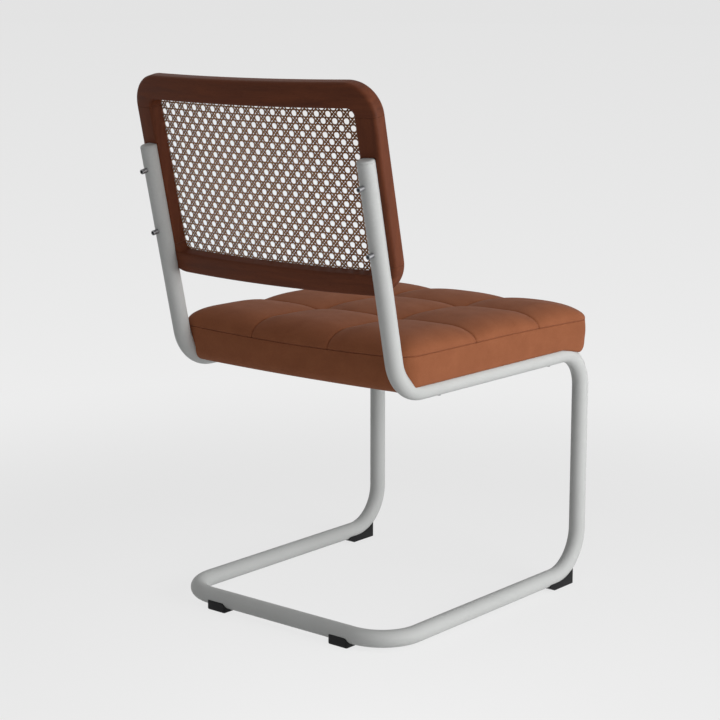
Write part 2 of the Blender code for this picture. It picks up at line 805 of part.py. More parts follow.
def seat_skin(inset):
    """The upholstered shape, drawn in by an inset: top grid, rows down its side, and outline."""
    half_x = seat_width / 2
    half_y = seat_depth / 2
    middle_y = (seat_front + seat_rear) / 2
    x, y = np.meshgrid(seat_lines(-half_x, half_x), seat_lines(-half_y, half_y), indexing="ij")
    radius = np.where(y > 0, seat_rear_corner_radius, seat_front_corner_radius)

    # Points beyond a corner's arc are drawn back onto it
    corner_x = np.sign(x) * (half_x - radius)
    corner_y = np.sign(y) * (half_y - radius)
    from_x = np.where(np.abs(x) > half_x - radius, x - corner_x, 0)
    from_y = np.where(np.abs(y) > half_y - radius, y - corner_y, 0)
    distance = np.hypot(from_x, from_y)
    in_corner = (from_x != 0) & (from_y != 0)
    edge = np.zeros(x.shape, bool)
    edge[[0, -1], :] = True
    edge[:, [0, -1]] = True
    scale = np.where(in_corner & (edge | (distance > radius)), radius / np.maximum(distance, 1e-9), 1)
    x = np.where(in_corner, corner_x + from_x * scale, x)
    y = np.where(in_corner, corner_y + from_y * scale, y)
    outward_x = np.where(from_x != 0, x - corner_x, 0)
    outward_y = np.where(from_y != 0, y - corner_y, 0)
    length = np.maximum(np.hypot(outward_x, outward_y), 1e-9)
    outward_x = outward_x / length
    outward_y = outward_y / length
    depth_in = np.where(in_corner, radius - np.hypot(x - corner_x, y - corner_y),
                        np.minimum(half_x - np.abs(x), half_y - np.abs(y)))

    # Seams are valleys between crowned pads, and the outer edge rounds over to the boxing seam
    seam_x = np.minimum(np.abs(np.abs(x) - seat_width / 6), half_x - np.abs(x))
    seam_y = np.minimum(np.abs(np.abs(y) - seat_depth / 6), half_y - np.abs(y))
    rise_x = 1 - (1 - np.clip(seam_x / crown_reach, 0, 1)) ** crown_fullness
    rise_y = 1 - (1 - np.clip(seam_y / crown_reach, 0, 1)) ** crown_fullness
    quilt = seam_height + (crown_height - seam_height) * (rise_x * rise_y) ** crown_squareness
    forward = np.clip(-y / half_y, 0, 1) ** 1.5
    quilt = quilt - top_front_drop * forward
    rearward = np.clip(y / half_y, 0, 1) ** 1.5
    boxing = boxing_height - boxing_front_drop * forward + boxing_rear_rise * rearward
    round_over = np.sqrt(1 - (1 - np.clip(depth_in / top_edge_radius, 0, 1)) ** 2)
    top = boxing + (quilt - boxing) * round_over - inset

    share = np.clip(1 - depth_in / inset_reach, 0, 1)
    rear_bow = seat_rear_bow * (1 - (x / half_x) ** 2) * np.clip(y / half_y, 0, 1) ** 2
    front_bow = seat_front_bow * (1 - (x / half_x) ** 2) * np.clip(-y / half_y, 0, 1) ** 2
    bowed_y = y + rear_bow - front_bow
    drawn_x = x - outward_x * inset * share
    drawn_y = bowed_y - outward_y * inset * share
    top_points = np.stack([drawn_x, middle_y + drawn_y, rail_height + top], axis=-1)

    # Once round the edge of the grid
    last = x.shape[0] - 1
    around = [(k, 0) for k in range(last)] + [(last, k) for k in range(last)]
    around += [(last - k, last) for k in range(last)] + [(0, last - k) for k in range(last)]
    i, j = np.array(around).T
    edge_x = x[i, j]
    edge_y = middle_y + bowed_y[i, j]
    out = np.stack([outward_x[i, j], outward_y[i, j]], axis=-1)
    side_share = out[:, 0] ** 2
    tuck = side_tuck * side_share + (1 - side_share) * np.where(out[:, 1] > 0, rear_tuck, front_tuck)
    bottom = cover_bottom + (cover_side_bottom - cover_bottom) * side_share

    def row(offset, height):
        return np.stack([
            edge_x + out[:, 0] * offset,
            edge_y + out[:, 1] * offset,
            rail_height + height,
        ], axis=-1)

    leaning = rear_wall_draw * np.clip(out[:, 1], 0, 1)
    low_side = row(-inset - leaning, bottom + tuck)
    rest = 1 - tuck_first_share
    turn_offset = -tuck_first_share * tuck - rest * inset - leaning / 2
    turn = row(turn_offset, bottom + tuck_first_share * tuck + rest * inset)
    return top_points, around, [low_side, turn], row, tuck, bottom


def seat_body(inset, open_below):
    """A closed body of the seat's shape. Open below, its inside runs out through the underside."""
    top_points, around, rows, row, tuck, bottom = seat_skin(inset)
    size = top_points.shape[0]
    points = [tuple(point) for point in top_points.reshape(-1, 3)]
    faces = []
    for a in range(size - 1):
        for b in range(size - 1):
            here = a * size + b
            faces.append((here, here + size, here + size + 1))
            faces.append((here, here + size + 1, here + 1))
    if open_below:
        rows.append(row(-tuck - cover_lip, bottom + inset))
        rows.append(row(-tuck - cover_lip, 0 * tuck - under_reach))
    else:
        rows.append(row(-tuck, bottom + inset))
        rows.append(row(-tuck - rear_tuck / 3, bottom + inset))
        rows.append(row(-tuck - 2 * rear_tuck / 3, 0 * tuck + cover_side_bottom + inset))
    previous = [i * size + j for i, j in around]
    for line in rows:
        start = len(points)
        points += [tuple(point) for point in line]
        current = [start + k for k in range(len(line))]
        for k in range(len(current)):
            after = (k + 1) % len(current)
            faces.append((previous[k], previous[after], current[after]))
            faces.append((previous[k], current[after], current[k]))
        previous = current
    faces.append(tuple(previous))
    return points, faces


def board_outline(clearance):
    """The board's outline, inside the cover's turned-in edge, at a clearance from it."""
    _, _, _, row, tuck, _ = seat_skin(0)
    return row(-tuck - cover_lip - clearance, np.zeros(len(tuck)))[:, :2]


def board_block(clearance, low, high):
    rings = []
    for height in (low, high):
        rings.append([Vector((x, y, rail_height + height)) for x, y in board_outline(clearance)])
    return lofted(rings)


def make_seat(fabric, foam_material, plywood, cloth):
    lining = touch_gap + cover_thickness
    cover = make_object("seat_cover", *seat_body(0, False), fabric, 28)
    hollow = make_cutter("cover_hollow", *seat_body(cover_thickness, True))
    cut(hollow, tube_cutter("tube_in_hollow", lining))
    cut(cover, tube_cutter("tube_in_cover", touch_gap), hollow)

    foam = make_object("seat_foam", *seat_body(cover_thickness + foam_gap, False), foam_material, 28)
    tube_in_board = tube_cutter("tube_in_board", lining + touch_gap)
    recess = make_cutter("board_recess", *board_block(0, -under_reach, board_top + touch_gap))
    cut(foam, recess, tube_in_board)

    board = make_object("seat_board", *board_block(touch_gap, board_bottom, board_top), plywood)
    cut(board, tube_in_board)

    for place, centre in seat_screw_places():
        hole = seat_screw_diameter + 2 * hole_clearance
        depth = tube_radius + lining + touch_gap + seat_screw_grip + hole_spare_depth
        start = centre - Vector((0, 0, tube_diameter))
        cutter = round_cutter("seat_hole_" + place, start, centre + Vector((0, 0, depth)), hole)
        cut(cover, cutter)
        cut(board, cutter)

    # The dust cover closes the underside between the rails
    half_x = half_spacing - tube_radius - lining - dust_cover_side_gap
    low_y = seat_front + front_tuck + dust_cover_end_gap
    high_y = seat_rear - rear_tuck - dust_cover_end_gap
    corners = ((-half_x, low_y), (half_x, low_y), (half_x, high_y), (-half_x, high_y))
    top = rail_height + board_bottom - touch_gap
    rings = [[Vector((x, y, z)) for x, y in corners] for z in (top - dust_cover_thickness, top)]
    make_object("seat_dust_cover", *lofted(rings), cloth)


def make_seat_screws(steel):
    """A pan-headed wood screw up through each rail into the board."""
    upward = Vector((0, 0, 1))
    radius = seat_screw_diameter / 2
    head_radius = seat_screw_head_diameter / 2
    seat = tube_radius + touch_gap
    tip = tube_radius + 2 * touch_gap + cover_thickness + seat_screw_grip
    for place, centre in seat_screw_places():
        profile = []
        for height, width in seat_screw_head_shape:
            profile.append((-seat - seat_screw_head_height * height, head_radius * width))
        profile += [
            (-seat, radius),
            (tip - seat_screw_point_length, radius),
            (tip, seat_screw_point_radius),
        ]
        points, faces = turned(profile, centre, upward, turned_sides)
        make_object("seat_screw_" + place, points, faces, steel)


# Glides

def rounded_rectangle(half_x, half_y, radius, steps=2):
    outline = []
    for number, (sx, sy) in enumerate(((1, 1), (-1, 1), (-1, -1), (1, -1))):
        for k in range(steps + 1):
            angle = math.radians(90 * number + 90 * k / steps)
            outline.append((sx * (half_x - radius) + radius * math.cos(angle),
                            sy * (half_y - radius) + radius * math.sin(angle)))
    return outline


def add_peg(glide, centre):
    """Joins a moulded peg to a glide, standing up into the tube's drilled hole."""
    low = centre - Vector((0, 0, tube_radius + peg_root))
    profile = [(0, peg_diameter / 2), (peg_length, peg_diameter / 2)]
    peg = make_cutter("peg_of_" + glide.name, *turned(profile, low, Vector((0, 0, 1)), peg_sides))
    modifier = glide.modifiers.new("peg", "BOOLEAN")
    modifier.operation = "UNION"
    modifier.solver = "EXACT"
    modifier.object = peg


def make_rear_glide(side, sign, material, tube_shape):
    """A block with a saddle for the floor bar."""
    half_x = rear_glide_length / 2
    half_y = rear_glide_width / 2
    outline = rounded_rectangle(half_x, half_y, rear_glide_corner_radius)
    middle_inset = rear_glide_bevel * (1 - math.sqrt(0.5))
    middle = rounded_rectangle(half_x - middle_inset, half_y - middle_inset, rear_glide_corner_radius - middle_inset)
    lower = rounded_rectangle(half_x - rear_glide_bevel, half_y - rear_glide_bevel,
                              rear_glide_corner_radius - rear_glide_bevel)
    rings = []
    for points, height in ((lower, 0), (middle, middle_inset), (outline, rear_glide_bevel), (outline, runner_height)):
        centre = Vector((sign * rear_glide_offset, floor_bar_y, height))
        rings.append([centre + Vector((x, y, 0)) for x, y in points])
    glide = make_object("rear_glide_" + side, *lofted(rings), material)
    cut(glide, tube_shape)
    return glide


def make_front_glide(side, sign, material, tube_shape):
    """A wedge under the bend from leg to runner, with a hollow top that the bend lies in."""
    front = leg_y + front_glide_setback
    flat_end = front + front_glide_flat
    tail_end = front + front_glide_length
    profile = [
        (front, glide_bevel),
        (front + glide_bevel, 0),
        (flat_end, 0),
        (tail_end, front_glide_tail_rise),
        (tail_end, runner_height - 2 * touch_gap),
    ]
    for k in range(saddle_steps + 1):
        share = k / saddle_steps
        setback = foot_bend_radius + (front_glide_setback - foot_bend_radius) * share
        drop = math.sqrt(foot_bend_radius ** 2 - (foot_bend_radius - setback) ** 2)
        profile.append((leg_y + setback, runner_height + foot_bend_radius - drop - 2 * touch_gap))
    half = front_glide_width / 2
    rings = []
    for offset in (-half, half):
        x = sign * half_spacing + offset
        rings.append([Vector((x, y, z)) for y, z in profile])
    glide = make_object("front_glide_" + side, *lofted(rings), material)
    cut(glide, tube_shape)
    return glide


def make_glides(material):
    tube_shape = tube_cutter("tube_in_glides", touch_gap)
    pegs = dict(glide_peg_places())
    for side, sign in sides:
        for glide in (make_rear_glide(side, sign, material, tube_shape),
                      make_front_glide(side, sign, material, tube_shape)):
            add_peg(glide, pegs[glide.name])


def build_chair():
    clear_scene()
    painted = make_material("painted_tube", (0.56, 0.57, 0.56), 0.38, 0.1)
    wood = make_material("stained_wood", (0.15, 0.052, 0.024), 0.42)
    tenon_wood = make_material("beech", (0.55, 0.38, 0.22), 0.6)
    cane = make_material("cane", (0.42, 0.26, 0.14), 0.6)
    steel = make_material("dark_steel", (0.16, 0.16, 0.17), 0.35, 0.9)
    brass = make_material("brass", (0.7, 0.5, 0.22), 0.35, 0.9)
    suede = make_material("suede", (0.33, 0.11, 0.045), 0.9)
    foam = make_material("foam", (0.85, 0.78, 0.55), 0.95)
    plywood = make_material("plywood", (0.6, 0.43, 0.26), 0.7)
    cloth = make_material("dust_cloth", (0.03, 0.03, 0.03), 0.95)
    plastic = make_material("black_plastic", (0.03, 0.03, 0.03), 0.45)

    make_frame_tube(painted)
    for side, sign in sides:
        make_end_plug(side, sign, painted)
    make_back(wood, tenon_wood)
    make_cane(cane)
    make_spline(wood)
    make_back_fasteners(steel, brass)
    make_seat(suede, foam, plywood, cloth)
    make_seat_screws(steel)
    make_glides(plastic)


build_chair()
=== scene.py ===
import math
import bpy
import numpy as np
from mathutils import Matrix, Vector


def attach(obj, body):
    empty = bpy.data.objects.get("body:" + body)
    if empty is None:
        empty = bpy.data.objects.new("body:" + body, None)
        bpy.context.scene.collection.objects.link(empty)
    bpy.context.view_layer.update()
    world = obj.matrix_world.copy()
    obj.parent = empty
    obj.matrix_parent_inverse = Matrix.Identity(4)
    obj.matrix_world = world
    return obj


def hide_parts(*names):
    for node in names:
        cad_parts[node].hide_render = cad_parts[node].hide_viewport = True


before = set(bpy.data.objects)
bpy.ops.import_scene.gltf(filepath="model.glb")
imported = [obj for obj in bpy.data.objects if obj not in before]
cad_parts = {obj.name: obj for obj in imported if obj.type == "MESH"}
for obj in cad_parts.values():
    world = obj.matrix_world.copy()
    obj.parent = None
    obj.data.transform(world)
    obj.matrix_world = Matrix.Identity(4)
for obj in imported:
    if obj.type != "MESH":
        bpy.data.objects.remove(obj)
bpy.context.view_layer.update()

# the chair's own lines, the same as in the solids
lines = {
    "tubeRadius": 0.0125,
    "tubeWall": 0.002,
    "halfSpacing": 0.202,      # from the middle plane to a post's centre line
    "railHeight": 0.3668,
    "runnerHeight": 0.018,
    "legY": -0.26154,
    "postFootY": 0.18746,
    "floorBarY": 0.20746,
    "postLean": math.radians(12.16),
    "postLength": 0.3285,
    "bends": (0.059, 0.056, 0.067, 0.062),   # rear, front, foot and corner bend
    "touch": 0.0003,
}
upPost = np.array([0, math.sin(lines["postLean"]), math.cos(lines["postLean"])])
behindPost = np.array([0, math.cos(lines["postLean"]), -math.sin(lines["postLean"])])
postFoot = np.array([0, lines["postFootY"], lines["railHeight"]])
tubeClear = lines["tubeRadius"] + lines["touch"]
sides = (("left", 1), ("right", -1))


# small tools for making surfaces
def together(*parts):
    # numbers or arrays side by side, as the last axis of one array
    return np.stack(np.broadcast_arrays(*parts), axis=-1)


def onPost(sign, height):
    return np.array([sign * lines["halfSpacing"], 0, 0]) + postFoot + upPost * height


def gridQuads(rows, columns, closeRows=False, closeColumns=False):
    # quads between neighbouring rows and columns of a grid of points, as whole index arrays
    i, j = np.meshgrid(np.arange(rows if closeRows else rows - 1),
                       np.arange(columns if closeColumns else columns - 1), indexing="ij")
    i2 = (i + 1) % rows
    j2 = (j + 1) % columns
    quads = np.stack([i * columns + j, i2 * columns + j, i2 * columns + j2, i * columns + j2], axis=-1)
    return quads.reshape(-1, 4)


def cappedFaces(rows, count):
    # quads round a drawn-out shape, then its first and last rings as end faces
    last = (rows - 1) * count
    ends = [list(range(count)), list(range(last + count - 1, last - 1, -1))]
    return gridQuads(rows, count, closeColumns=True).tolist() + ends


def insideOut(points, faces):
    # the signed volume is the sum over faces of corner . (edge x edge) / 6; below zero means inside out
    total = 0.0
    for size in {len(f) for f in faces}:
        corners = points[np.array([f for f in faces if len(f) == size])]
        for k in range(1, size - 1):
            cross = np.cross(corners[:, k] - corners[:, 0], corners[:, k + 1] - corners[:, 0])
            total += (corners[:, 0] * cross).sum()
    return total < 0


def newObject(name, data):
    thing = bpy.data.objects.new(name, data)
    bpy.context.scene.collection.objects.link(thing)
    return thing


def assign(thing, **settings):
    for key, value in settings.items():
        setattr(thing, key, value)


def addModifier(piece, kind, **settings):
    modifier = piece.modifiers.new(kind.lower(), kind)
    assign(modifier, **settings)
    return modifier


def newPiece(name, points, faces, material, slot=None, stands=(), sharp=38, closed=True):
    points = np.asarray(points, float).reshape(-1, 3)
    faces = [tuple(int(v) for v in f) for f in faces]
    if closed and insideOut(points, faces):
        faces = [f[::-1] for f in faces]
    mesh = bpy.data.meshes.new(name)
    mesh.from_pydata(points.tolist(), [], faces)
    mesh.shade_smooth()
    if sharp:
        mesh.set_sharp_from_angle(angle=math.radians(sharp))
    mesh.materials.append(material)
    piece = newObject(name, mesh)
    if slot:
        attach(piece, "root")
    if stands:
        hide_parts(*stands)
    return piece


def bake(piece, sharp=38):
    # puts the result of the live modifiers into the mesh
    graph = bpy.context.evaluated_depsgraph_get()
    mesh = bpy.data.meshes.new_from_object(piece.evaluated_get(graph), depsgraph=graph)
    piece.modifiers.clear()
    old = piece.data
    piece.data = mesh
    mesh.name = piece.name
    bpy.data.meshes.remove(old)
    mesh.shade_smooth()
    mesh.set_sharp_from_angle(angle=math.radians(sharp))


def carve(piece, cutters, sharp=38, folded=False):
    # takes the cutters' shapes out of a piece, which may be folded into itself
    for cutter in cutters:
        addModifier(piece, "BOOLEAN", operation="DIFFERENCE", solver="EXACT", use_self=folded, object=cutter)
    bake(piece, sharp)


def dropObject(thing):
    mesh = thing.data
    bpy.data.objects.remove(thing)
    bpy.data.meshes.remove(mesh)


def unit(v):
    return v / np.linalg.norm(v)


def turnVectors(vectors, axis, angles):
    # Rodrigues' turn of one vector by many angles: v cos a + (axis x v) sin a + axis (axis . v)(1 - cos a)
    c = np.cos(angles)[:, None]
    s = np.sin(angles)[:, None]
    return vectors * c + np.cross(axis, vectors) * s + axis * (axis @ vectors) * (1 - c)


def bentLine(corners, radii, stepAngle):
    # straight runs with an arc at each corner; a side vector is carried along and turned with the arcs
    spots = [corners[0][None]]
    runs = [unit(corners[1] - corners[0])[None]]
    side = np.array([1.0, 0, 0])
    side = unit(side - runs[0][0] * (side @ runs[0][0]))
    across = [side[None]]
    for k, radius in enumerate(radii, start=1):
        inward = unit(corners[k] - corners[k - 1])
        outward = unit(corners[k + 1] - corners[k])
        turn = math.acos(float(np.clip(inward @ outward, -1, 1)))
        axis = unit(np.cross(inward, outward))
        start = corners[k] - inward * radius * math.tan(turn / 2)
        centre = start + np.cross(axis, inward) * radius
        angles = np.linspace(0, turn, max(4, round(turn / stepAngle)) + 1)
        spots.append(centre + turnVectors(start - centre, axis, angles))
        runs.append(turnVectors(inward, axis, angles))
        across.append(turnVectors(side, axis, angles))
        side = across[-1][-1]
    spots.append(corners[-1][None])
    runs.append(runs[-1][-1:])
    across.append(side[None])
    return np.concatenate(spots), np.concatenate(runs), np.concatenate(across)


def sweepRound(spots, runs, across, radius, count):
    # a ring of points about each spot: spot + radius (cos a side + sin a other)
    angles = np.arange(count) * 2 * np.pi / count
    other = np.cross(runs, across)
    return (spots[:, None] + radius * (np.cos(angles)[None, :, None] * across[:, None]
                                       + np.sin(angles)[None, :, None] * other[:, None]))


def turnedRows(profile, start, axis, count, recessShape=None):
    # a profile of (along, radius) turned about an axis; its first two rows may be a shaped recess
    axis = unit(np.asarray(axis, float))
    side = unit(np.cross(axis, [0.3, 1, 0.2]))
    other = np.cross(axis, side)
    angles = np.arange(count) * 2 * np.pi / count
    profile = np.asarray(profile, float)
    radii = np.repeat(profile[:, 1:2], count, axis=1)
    if recessShape is not None:
        radii[:2] *= recessShape(angles)
    ring = np.cos(angles)[None, :, None] * side + np.sin(angles)[None, :, None] * other
    return np.asarray(start) + profile[:, 0][:, None, None] * axis + radii[..., None] * ring


def turnedPiece(name, profile, start, axis, material, slot, stands=(), count=36, sharp=38, recessShape=None):
    rows = turnedRows(profile, start, axis, count, recessShape)
    return newPiece(name, rows, cappedFaces(len(rows), count), material, slot, stands, sharp)


# shader tools; a tone or a value may be a (node, output) pair, which is linked
def setInputs(tree, node, inputs):
    for key, value in inputs.items():
        if isinstance(value, tuple) and isinstance(value[0], bpy.types.Node):
            tree.links.new(value[0].outputs[value[1]], node.inputs[key])
        else:
            node.inputs[key].default_value = value


def addNode(tree, kind, inputs, **settings):
    node = tree.nodes.new(kind)
    assign(node, **settings)
    setInputs(tree, node, inputs)
    return node


def maths(tree, operation, *values):
    return addNode(tree, "ShaderNodeMath", dict(enumerate(values)), operation=operation), 0


def remap(tree, value, low, high, toLow=0.0, toHigh=1.0, **settings):
    return addNode(tree, "ShaderNodeMapRange", {"Value": value, "From Min": low, "From Max": high, "To Min": toLow,
                                                "To Max": toHigh}, **settings), "Result"


def mixTones(tree, share, first, second, blend="MIX"):
    return addNode(tree, "ShaderNodeMix", {0: share, 6: first, 7: second}, data_type="RGBA", blend_type=blend), 2


def newGroup(name, inputs, outputs):
    tree = bpy.data.node_groups.new(name, "ShaderNodeTree")
    for label, kind, value in inputs:
        socket = tree.interface.new_socket(label, in_out="INPUT", socket_type="NodeSocket" + kind)
        if value is not None:
            socket.default_value = value
    for label, kind in outputs:
        tree.interface.new_socket(label, in_out="OUTPUT", socket_type="NodeSocket" + kind)
    return tree, tree.nodes.new("NodeGroupInput"), tree.nodes.new("NodeGroupOutput")


def placeGroup(tree, group, inputs):
    node = tree.nodes.new("ShaderNodeGroup")
    node.node_tree = group
    setInputs(tree, node, inputs)
    return node


def newMaterial(name, **sockets):
    material = bpy.data.materials.new(name)
    material.use_nodes = True
    tree = material.node_tree
    shader = tree.nodes["Principled BSDF"]
    setInputs(tree, shader, {key.replace("_", " "): value for key, value in sockets.items()})
    return material, tree, shader


def rgb(r, g, b):
    return (r, g, b, 1.0)


def placeCoordinates(tree, turn=(0, 0, 0), stretch=(1, 1, 1), source="Object"):
    coordinates = tree.nodes.new("ShaderNodeTexCoord")
    return addNode(tree, "ShaderNodeMapping", {"Vector": (coordinates, source), "Rotation": turn,
                                               "Scale": stretch}), "Vector"


def buildGrainGroup():
    # wood grain along local X: bands bent by slow noise, fine streaks, and short dark pores
    tree, start, end = newGroup("grainAlongX", [
        ("Vector", "Vector", None), ("Light", "Color", rgb(0.3, 0.1, 0.05)),
        ("Dark", "Color", rgb(0.1, 0.03, 0.015)), ("Band Size", "Float", 0.012),
        ("Pore Strength", "Float", 0.6), ("Seed", "Float", 0.0)],
        [("Color", "Color"), ("Roughness", "Float"), ("Height", "Float")])
    wide, fine, short = [(addNode(tree, "ShaderNodeMapping", {"Vector": (start, "Vector"), "Scale": (share, 1, 1)}),
                          "Vector") for share in (0.09, 0.02, 0.07)]
    bands = addNode(tree, "ShaderNodeTexNoise", {
        "Vector": wide, "W": (start, "Seed"), "Scale": maths(tree, "DIVIDE", 1.0, (start, "Band Size")),
        "Detail": 3, "Roughness": 0.55, "Distortion": 0.6}, noise_dimensions="4D")
    streaks = addNode(tree, "ShaderNodeTexNoise", {"Vector": fine, "Scale": 900, "Detail": 2})
    pores = addNode(tree, "ShaderNodeTexVoronoi", {"Vector": short, "Scale": 1100, "Randomness": 1})
    pored = maths(tree, "MULTIPLY", remap(tree, (pores, "Distance"), 0.10, 0.26, 1, 0), (start, "Pore Strength"))
    share = maths(tree, "MULTIPLY", remap(tree, (bands, "Fac"), 0.32, 0.68), 0.62)
    share = maths(tree, "MULTIPLY_ADD", (streaks, "Fac"), 0.38, share)
    tone = mixTones(tree, share, (start, "Dark"), (start, "Light"))
    setInputs(tree, end, {"Color": mixTones(tree, pored, tone, rgb(0.35, 0.3, 0.28), "MULTIPLY"),
                          "Roughness": remap(tree, share, 0.0, 1.0, 0.46, 0.62),
                          "Height": maths(tree, "SUBTRACT", (streaks, "Fac"), pored)})
    return tree


def buildMottleGroup():
    # slow and fine changes of tone and roughness, as on any handled surface
    tree, start, end = newGroup("mottle", [
        ("Vector", "Vector", None), ("Base", "Color", rgb(0.5, 0.5, 0.5)), ("Second", "Color", rgb(0.4, 0.4, 0.4)),
        ("Patch Size", "Float", 0.04), ("Grain Size", "Float", 0.001), ("Grain Share", "Float", 0.5),
        ("Smoothest", "Float", 0.4), ("Roughest", "Float", 0.6)],
        [("Color", "Color"), ("Roughness", "Float"), ("Height", "Float")])
    slow, fine = [(addNode(tree, "ShaderNodeTexNoise", {
        "Vector": (start, "Vector"), "Scale": maths(tree, "DIVIDE", 1.0, (start, label)),
        "Detail": 3, "Roughness": 0.6}), "Fac") for label in ("Patch Size", "Grain Size")]
    both = addNode(tree, "ShaderNodeMix", {0: (start, "Grain Share"), 2: slow, 3: fine}, data_type="FLOAT")
    spread = remap(tree, (both, 0), 0.3, 0.7)
    setInputs(tree, end, {"Color": mixTones(tree, spread, (start, "Base"), (start, "Second")),
                          "Roughness": remap(tree, spread, 0.0, 1.0, (start, "Smoothest"), (start, "Roughest")),
                          "Height": fine})
    return tree


def buildEdgeWearGroup():
    # edges, found by how pointed the surface is, get a broken second colour; hollows get dust
    tree, start, end = newGroup("edgeWearAndDust", [
        ("Vector", "Vector", None), ("Base", "Color", rgb(0.5, 0.5, 0.5)), ("Worn", "Color", rgb(0.6, 0.6, 0.6)),
        ("Wear", "Float", 0.5), ("Dust", "Float", 0.2)], [("Color", "Color")])
    pointed = (tree.nodes.new("ShaderNodeNewGeometry"), "Pointiness")
    noise = addNode(tree, "ShaderNodeTexNoise", {"Vector": (start, "Vector"), "Scale": 260, "Detail": 4,
                                                 "Roughness": 0.7})
    mask = maths(tree, "MULTIPLY", remap(tree, pointed, 0.515, 0.60), remap(tree, (noise, "Fac"), 0.45, 0.68))
    worn = mixTones(tree, maths(tree, "MULTIPLY", mask, (start, "Wear")), (start, "Base"), (start, "Worn"))
    settled = maths(tree, "MULTIPLY", remap(tree, pointed, 0.49, 0.42), (start, "Dust"))
    setInputs(tree, end, {"Color": mixTones(tree, settled, worn, rgb(0.33, 0.31, 0.28))})
    return tree


grainGroup = buildGrainGroup()
mottleGroup = buildMottleGroup()
edgeGroup = buildEdgeWearGroup()


def finishMaterial(tree, shader, place, tone, worn, wear, dust, bump):
    # edge wear and dust over a tone, and its height as bump
    edges = placeGroup(tree, edgeGroup, {"Vector": place, "Base": (tone, "Color"), "Worn": worn, "Wear": wear,
                                         "Dust": dust})
    raised = addNode(tree, "ShaderNodeBump", {"Height": (tone, "Height"), "Strength": bump[0], "Distance": bump[1]})
    setInputs(tree, shader, {"Base Color": (edges, "Color"), "Roughness": (tone, "Roughness"),
                             "Normal": (raised, "Normal")})


def mottledMaterial(name, base, second, rough, bump, patch=0.05, grain=0.0012, share=0.4, worn=None,
                    wear=0.0, dust=0.0, **sockets):
    material, tree, shader = newMaterial(name, **sockets)
    place = placeCoordinates(tree)
    mottle = placeGroup(tree, mottleGroup, {"Vector": place, "Base": base, "Second": second, "Patch Size": patch,
                                            "Grain Size": grain, "Grain Share": share, "Smoothest": rough[0],
                                            "Roughest": rough[1]})
    finishMaterial(tree, shader, place, mottle, worn or base, wear, dust, bump)
    return material


def grainMaterial(name, light, dark, turn=(0, 0, 0), band=0.012, pores=0.5, seed=0.0, worn=None, wear=0.0,
                  **sockets):
    # the turn brings the grain's direction to local X
    material, tree, shader = newMaterial(name, **sockets)
    place = placeCoordinates(tree, turn)
    grain = placeGroup(tree, grainGroup, {"Vector": place, "Light": light, "Dark": dark, "Band Size": band,
                                          "Pore Strength": pores, "Seed": seed})
    finishMaterial(tree, shader, place, grain, worn or light, wear, 0.0, (0.12, 0.0004))
    return material


# paints, stains, metals and cloths of the chair; sizes are in metres
paint = {
    "pale": rgb(0.625, 0.635, 0.625),
    "second": rgb(0.585, 0.595, 0.585),
    "worn": rgb(0.73, 0.74, 0.73),
}
stain = {
    "light": rgb(0.185, 0.054, 0.024),
    "dark": rgb(0.090, 0.024, 0.010),
    "worn": rgb(0.215, 0.068, 0.032),
    "wear": 0.3,
    "gloss": 0.12,
}
acrossGrain = (0, math.pi / 2, 0)      # turns the grain from across to upright
tubePaint = mottledMaterial("tubePaint", paint["pale"], paint["second"], (0.50, 0.60), (0.10, 0.0003), patch=0.09,
                            grain=0.0018, share=0.35, worn=paint["worn"], wear=0.3, dust=0.1, Specular_IOR_Level=0.35)
railStain = grainMaterial("railStain", stain["light"], stain["dark"], worn=stain["worn"], wear=stain["wear"],
                          Specular_IOR_Level=stain["gloss"])
stileStain = grainMaterial("stileStain", stain["light"], stain["dark"], turn=acrossGrain, seed=3.7,
                           worn=stain["worn"], wear=stain["wear"], Specular_IOR_Level=stain["gloss"])
splineStain = grainMaterial("splineStain", rgb(0.23, 0.078, 0.038), rgb(0.12, 0.036, 0.017), band=0.004, pores=0.2,
                            Specular_IOR_Level=0.25)
tenonWood = grainMaterial("tenonWood", rgb(0.58, 0.40, 0.24), rgb(0.46, 0.30, 0.17), turn=acrossGrain,
                          band=0.006, pores=0.35)
boardPly = grainMaterial("boardPly", rgb(0.62, 0.45, 0.28), rgb(0.50, 0.34, 0.19), band=0.02, pores=0.4)
blackenedSteel = mottledMaterial("blackenedSteel", rgb(0.31, 0.31, 0.32), rgb(0.22, 0.22, 0.23), (0.30, 0.45),
                                 (0.08, 0.0002), patch=0.01, grain=0.0006, worn=rgb(0.45, 0.45, 0.46), wear=0.5,
                                 Metallic=0.9)
insertBrass = mottledMaterial("insertBrass", rgb(0.72, 0.52, 0.24), rgb(0.60, 0.41, 0.18), (0.25, 0.4),
                              (0.08, 0.0002), patch=0.008, grain=0.0006, Metallic=1.0)
glidePlastic = mottledMaterial("glidePlastic", rgb(0.006, 0.006, 0.007), rgb(0.010, 0.010, 0.011), (0.50, 0.64),
                               (0.15, 0.0002), patch=0.02, grain=0.0007, worn=rgb(0.03, 0.03, 0.03), wear=0.3,
                               Specular_IOR_Level=0.18)
foamMaterial = mottledMaterial("foamCells", rgb(0.86, 0.79, 0.56), rgb(0.78, 0.70, 0.47), (0.85, 0.95), (0.6, 0.001),
                               patch=0.05, grain=0.0012, share=0.7)
dustCloth = mottledMaterial("dustCloth", rgb(0.028, 0.028, 0.029), rgb(0.045, 0.045, 0.046), (0.8, 0.95),
                            (0.5, 0.0003), patch=0.02, grain=0.0008, share=0.7, dust=0.2)
stapleSteel = mottledMaterial("stapleSteel", rgb(0.55, 0.55, 0.56), rgb(0.42, 0.42, 0.43), (0.25, 0.4),
                              (0.05, 0.0001), patch=0.004, grain=0.0005, Metallic=1.0)
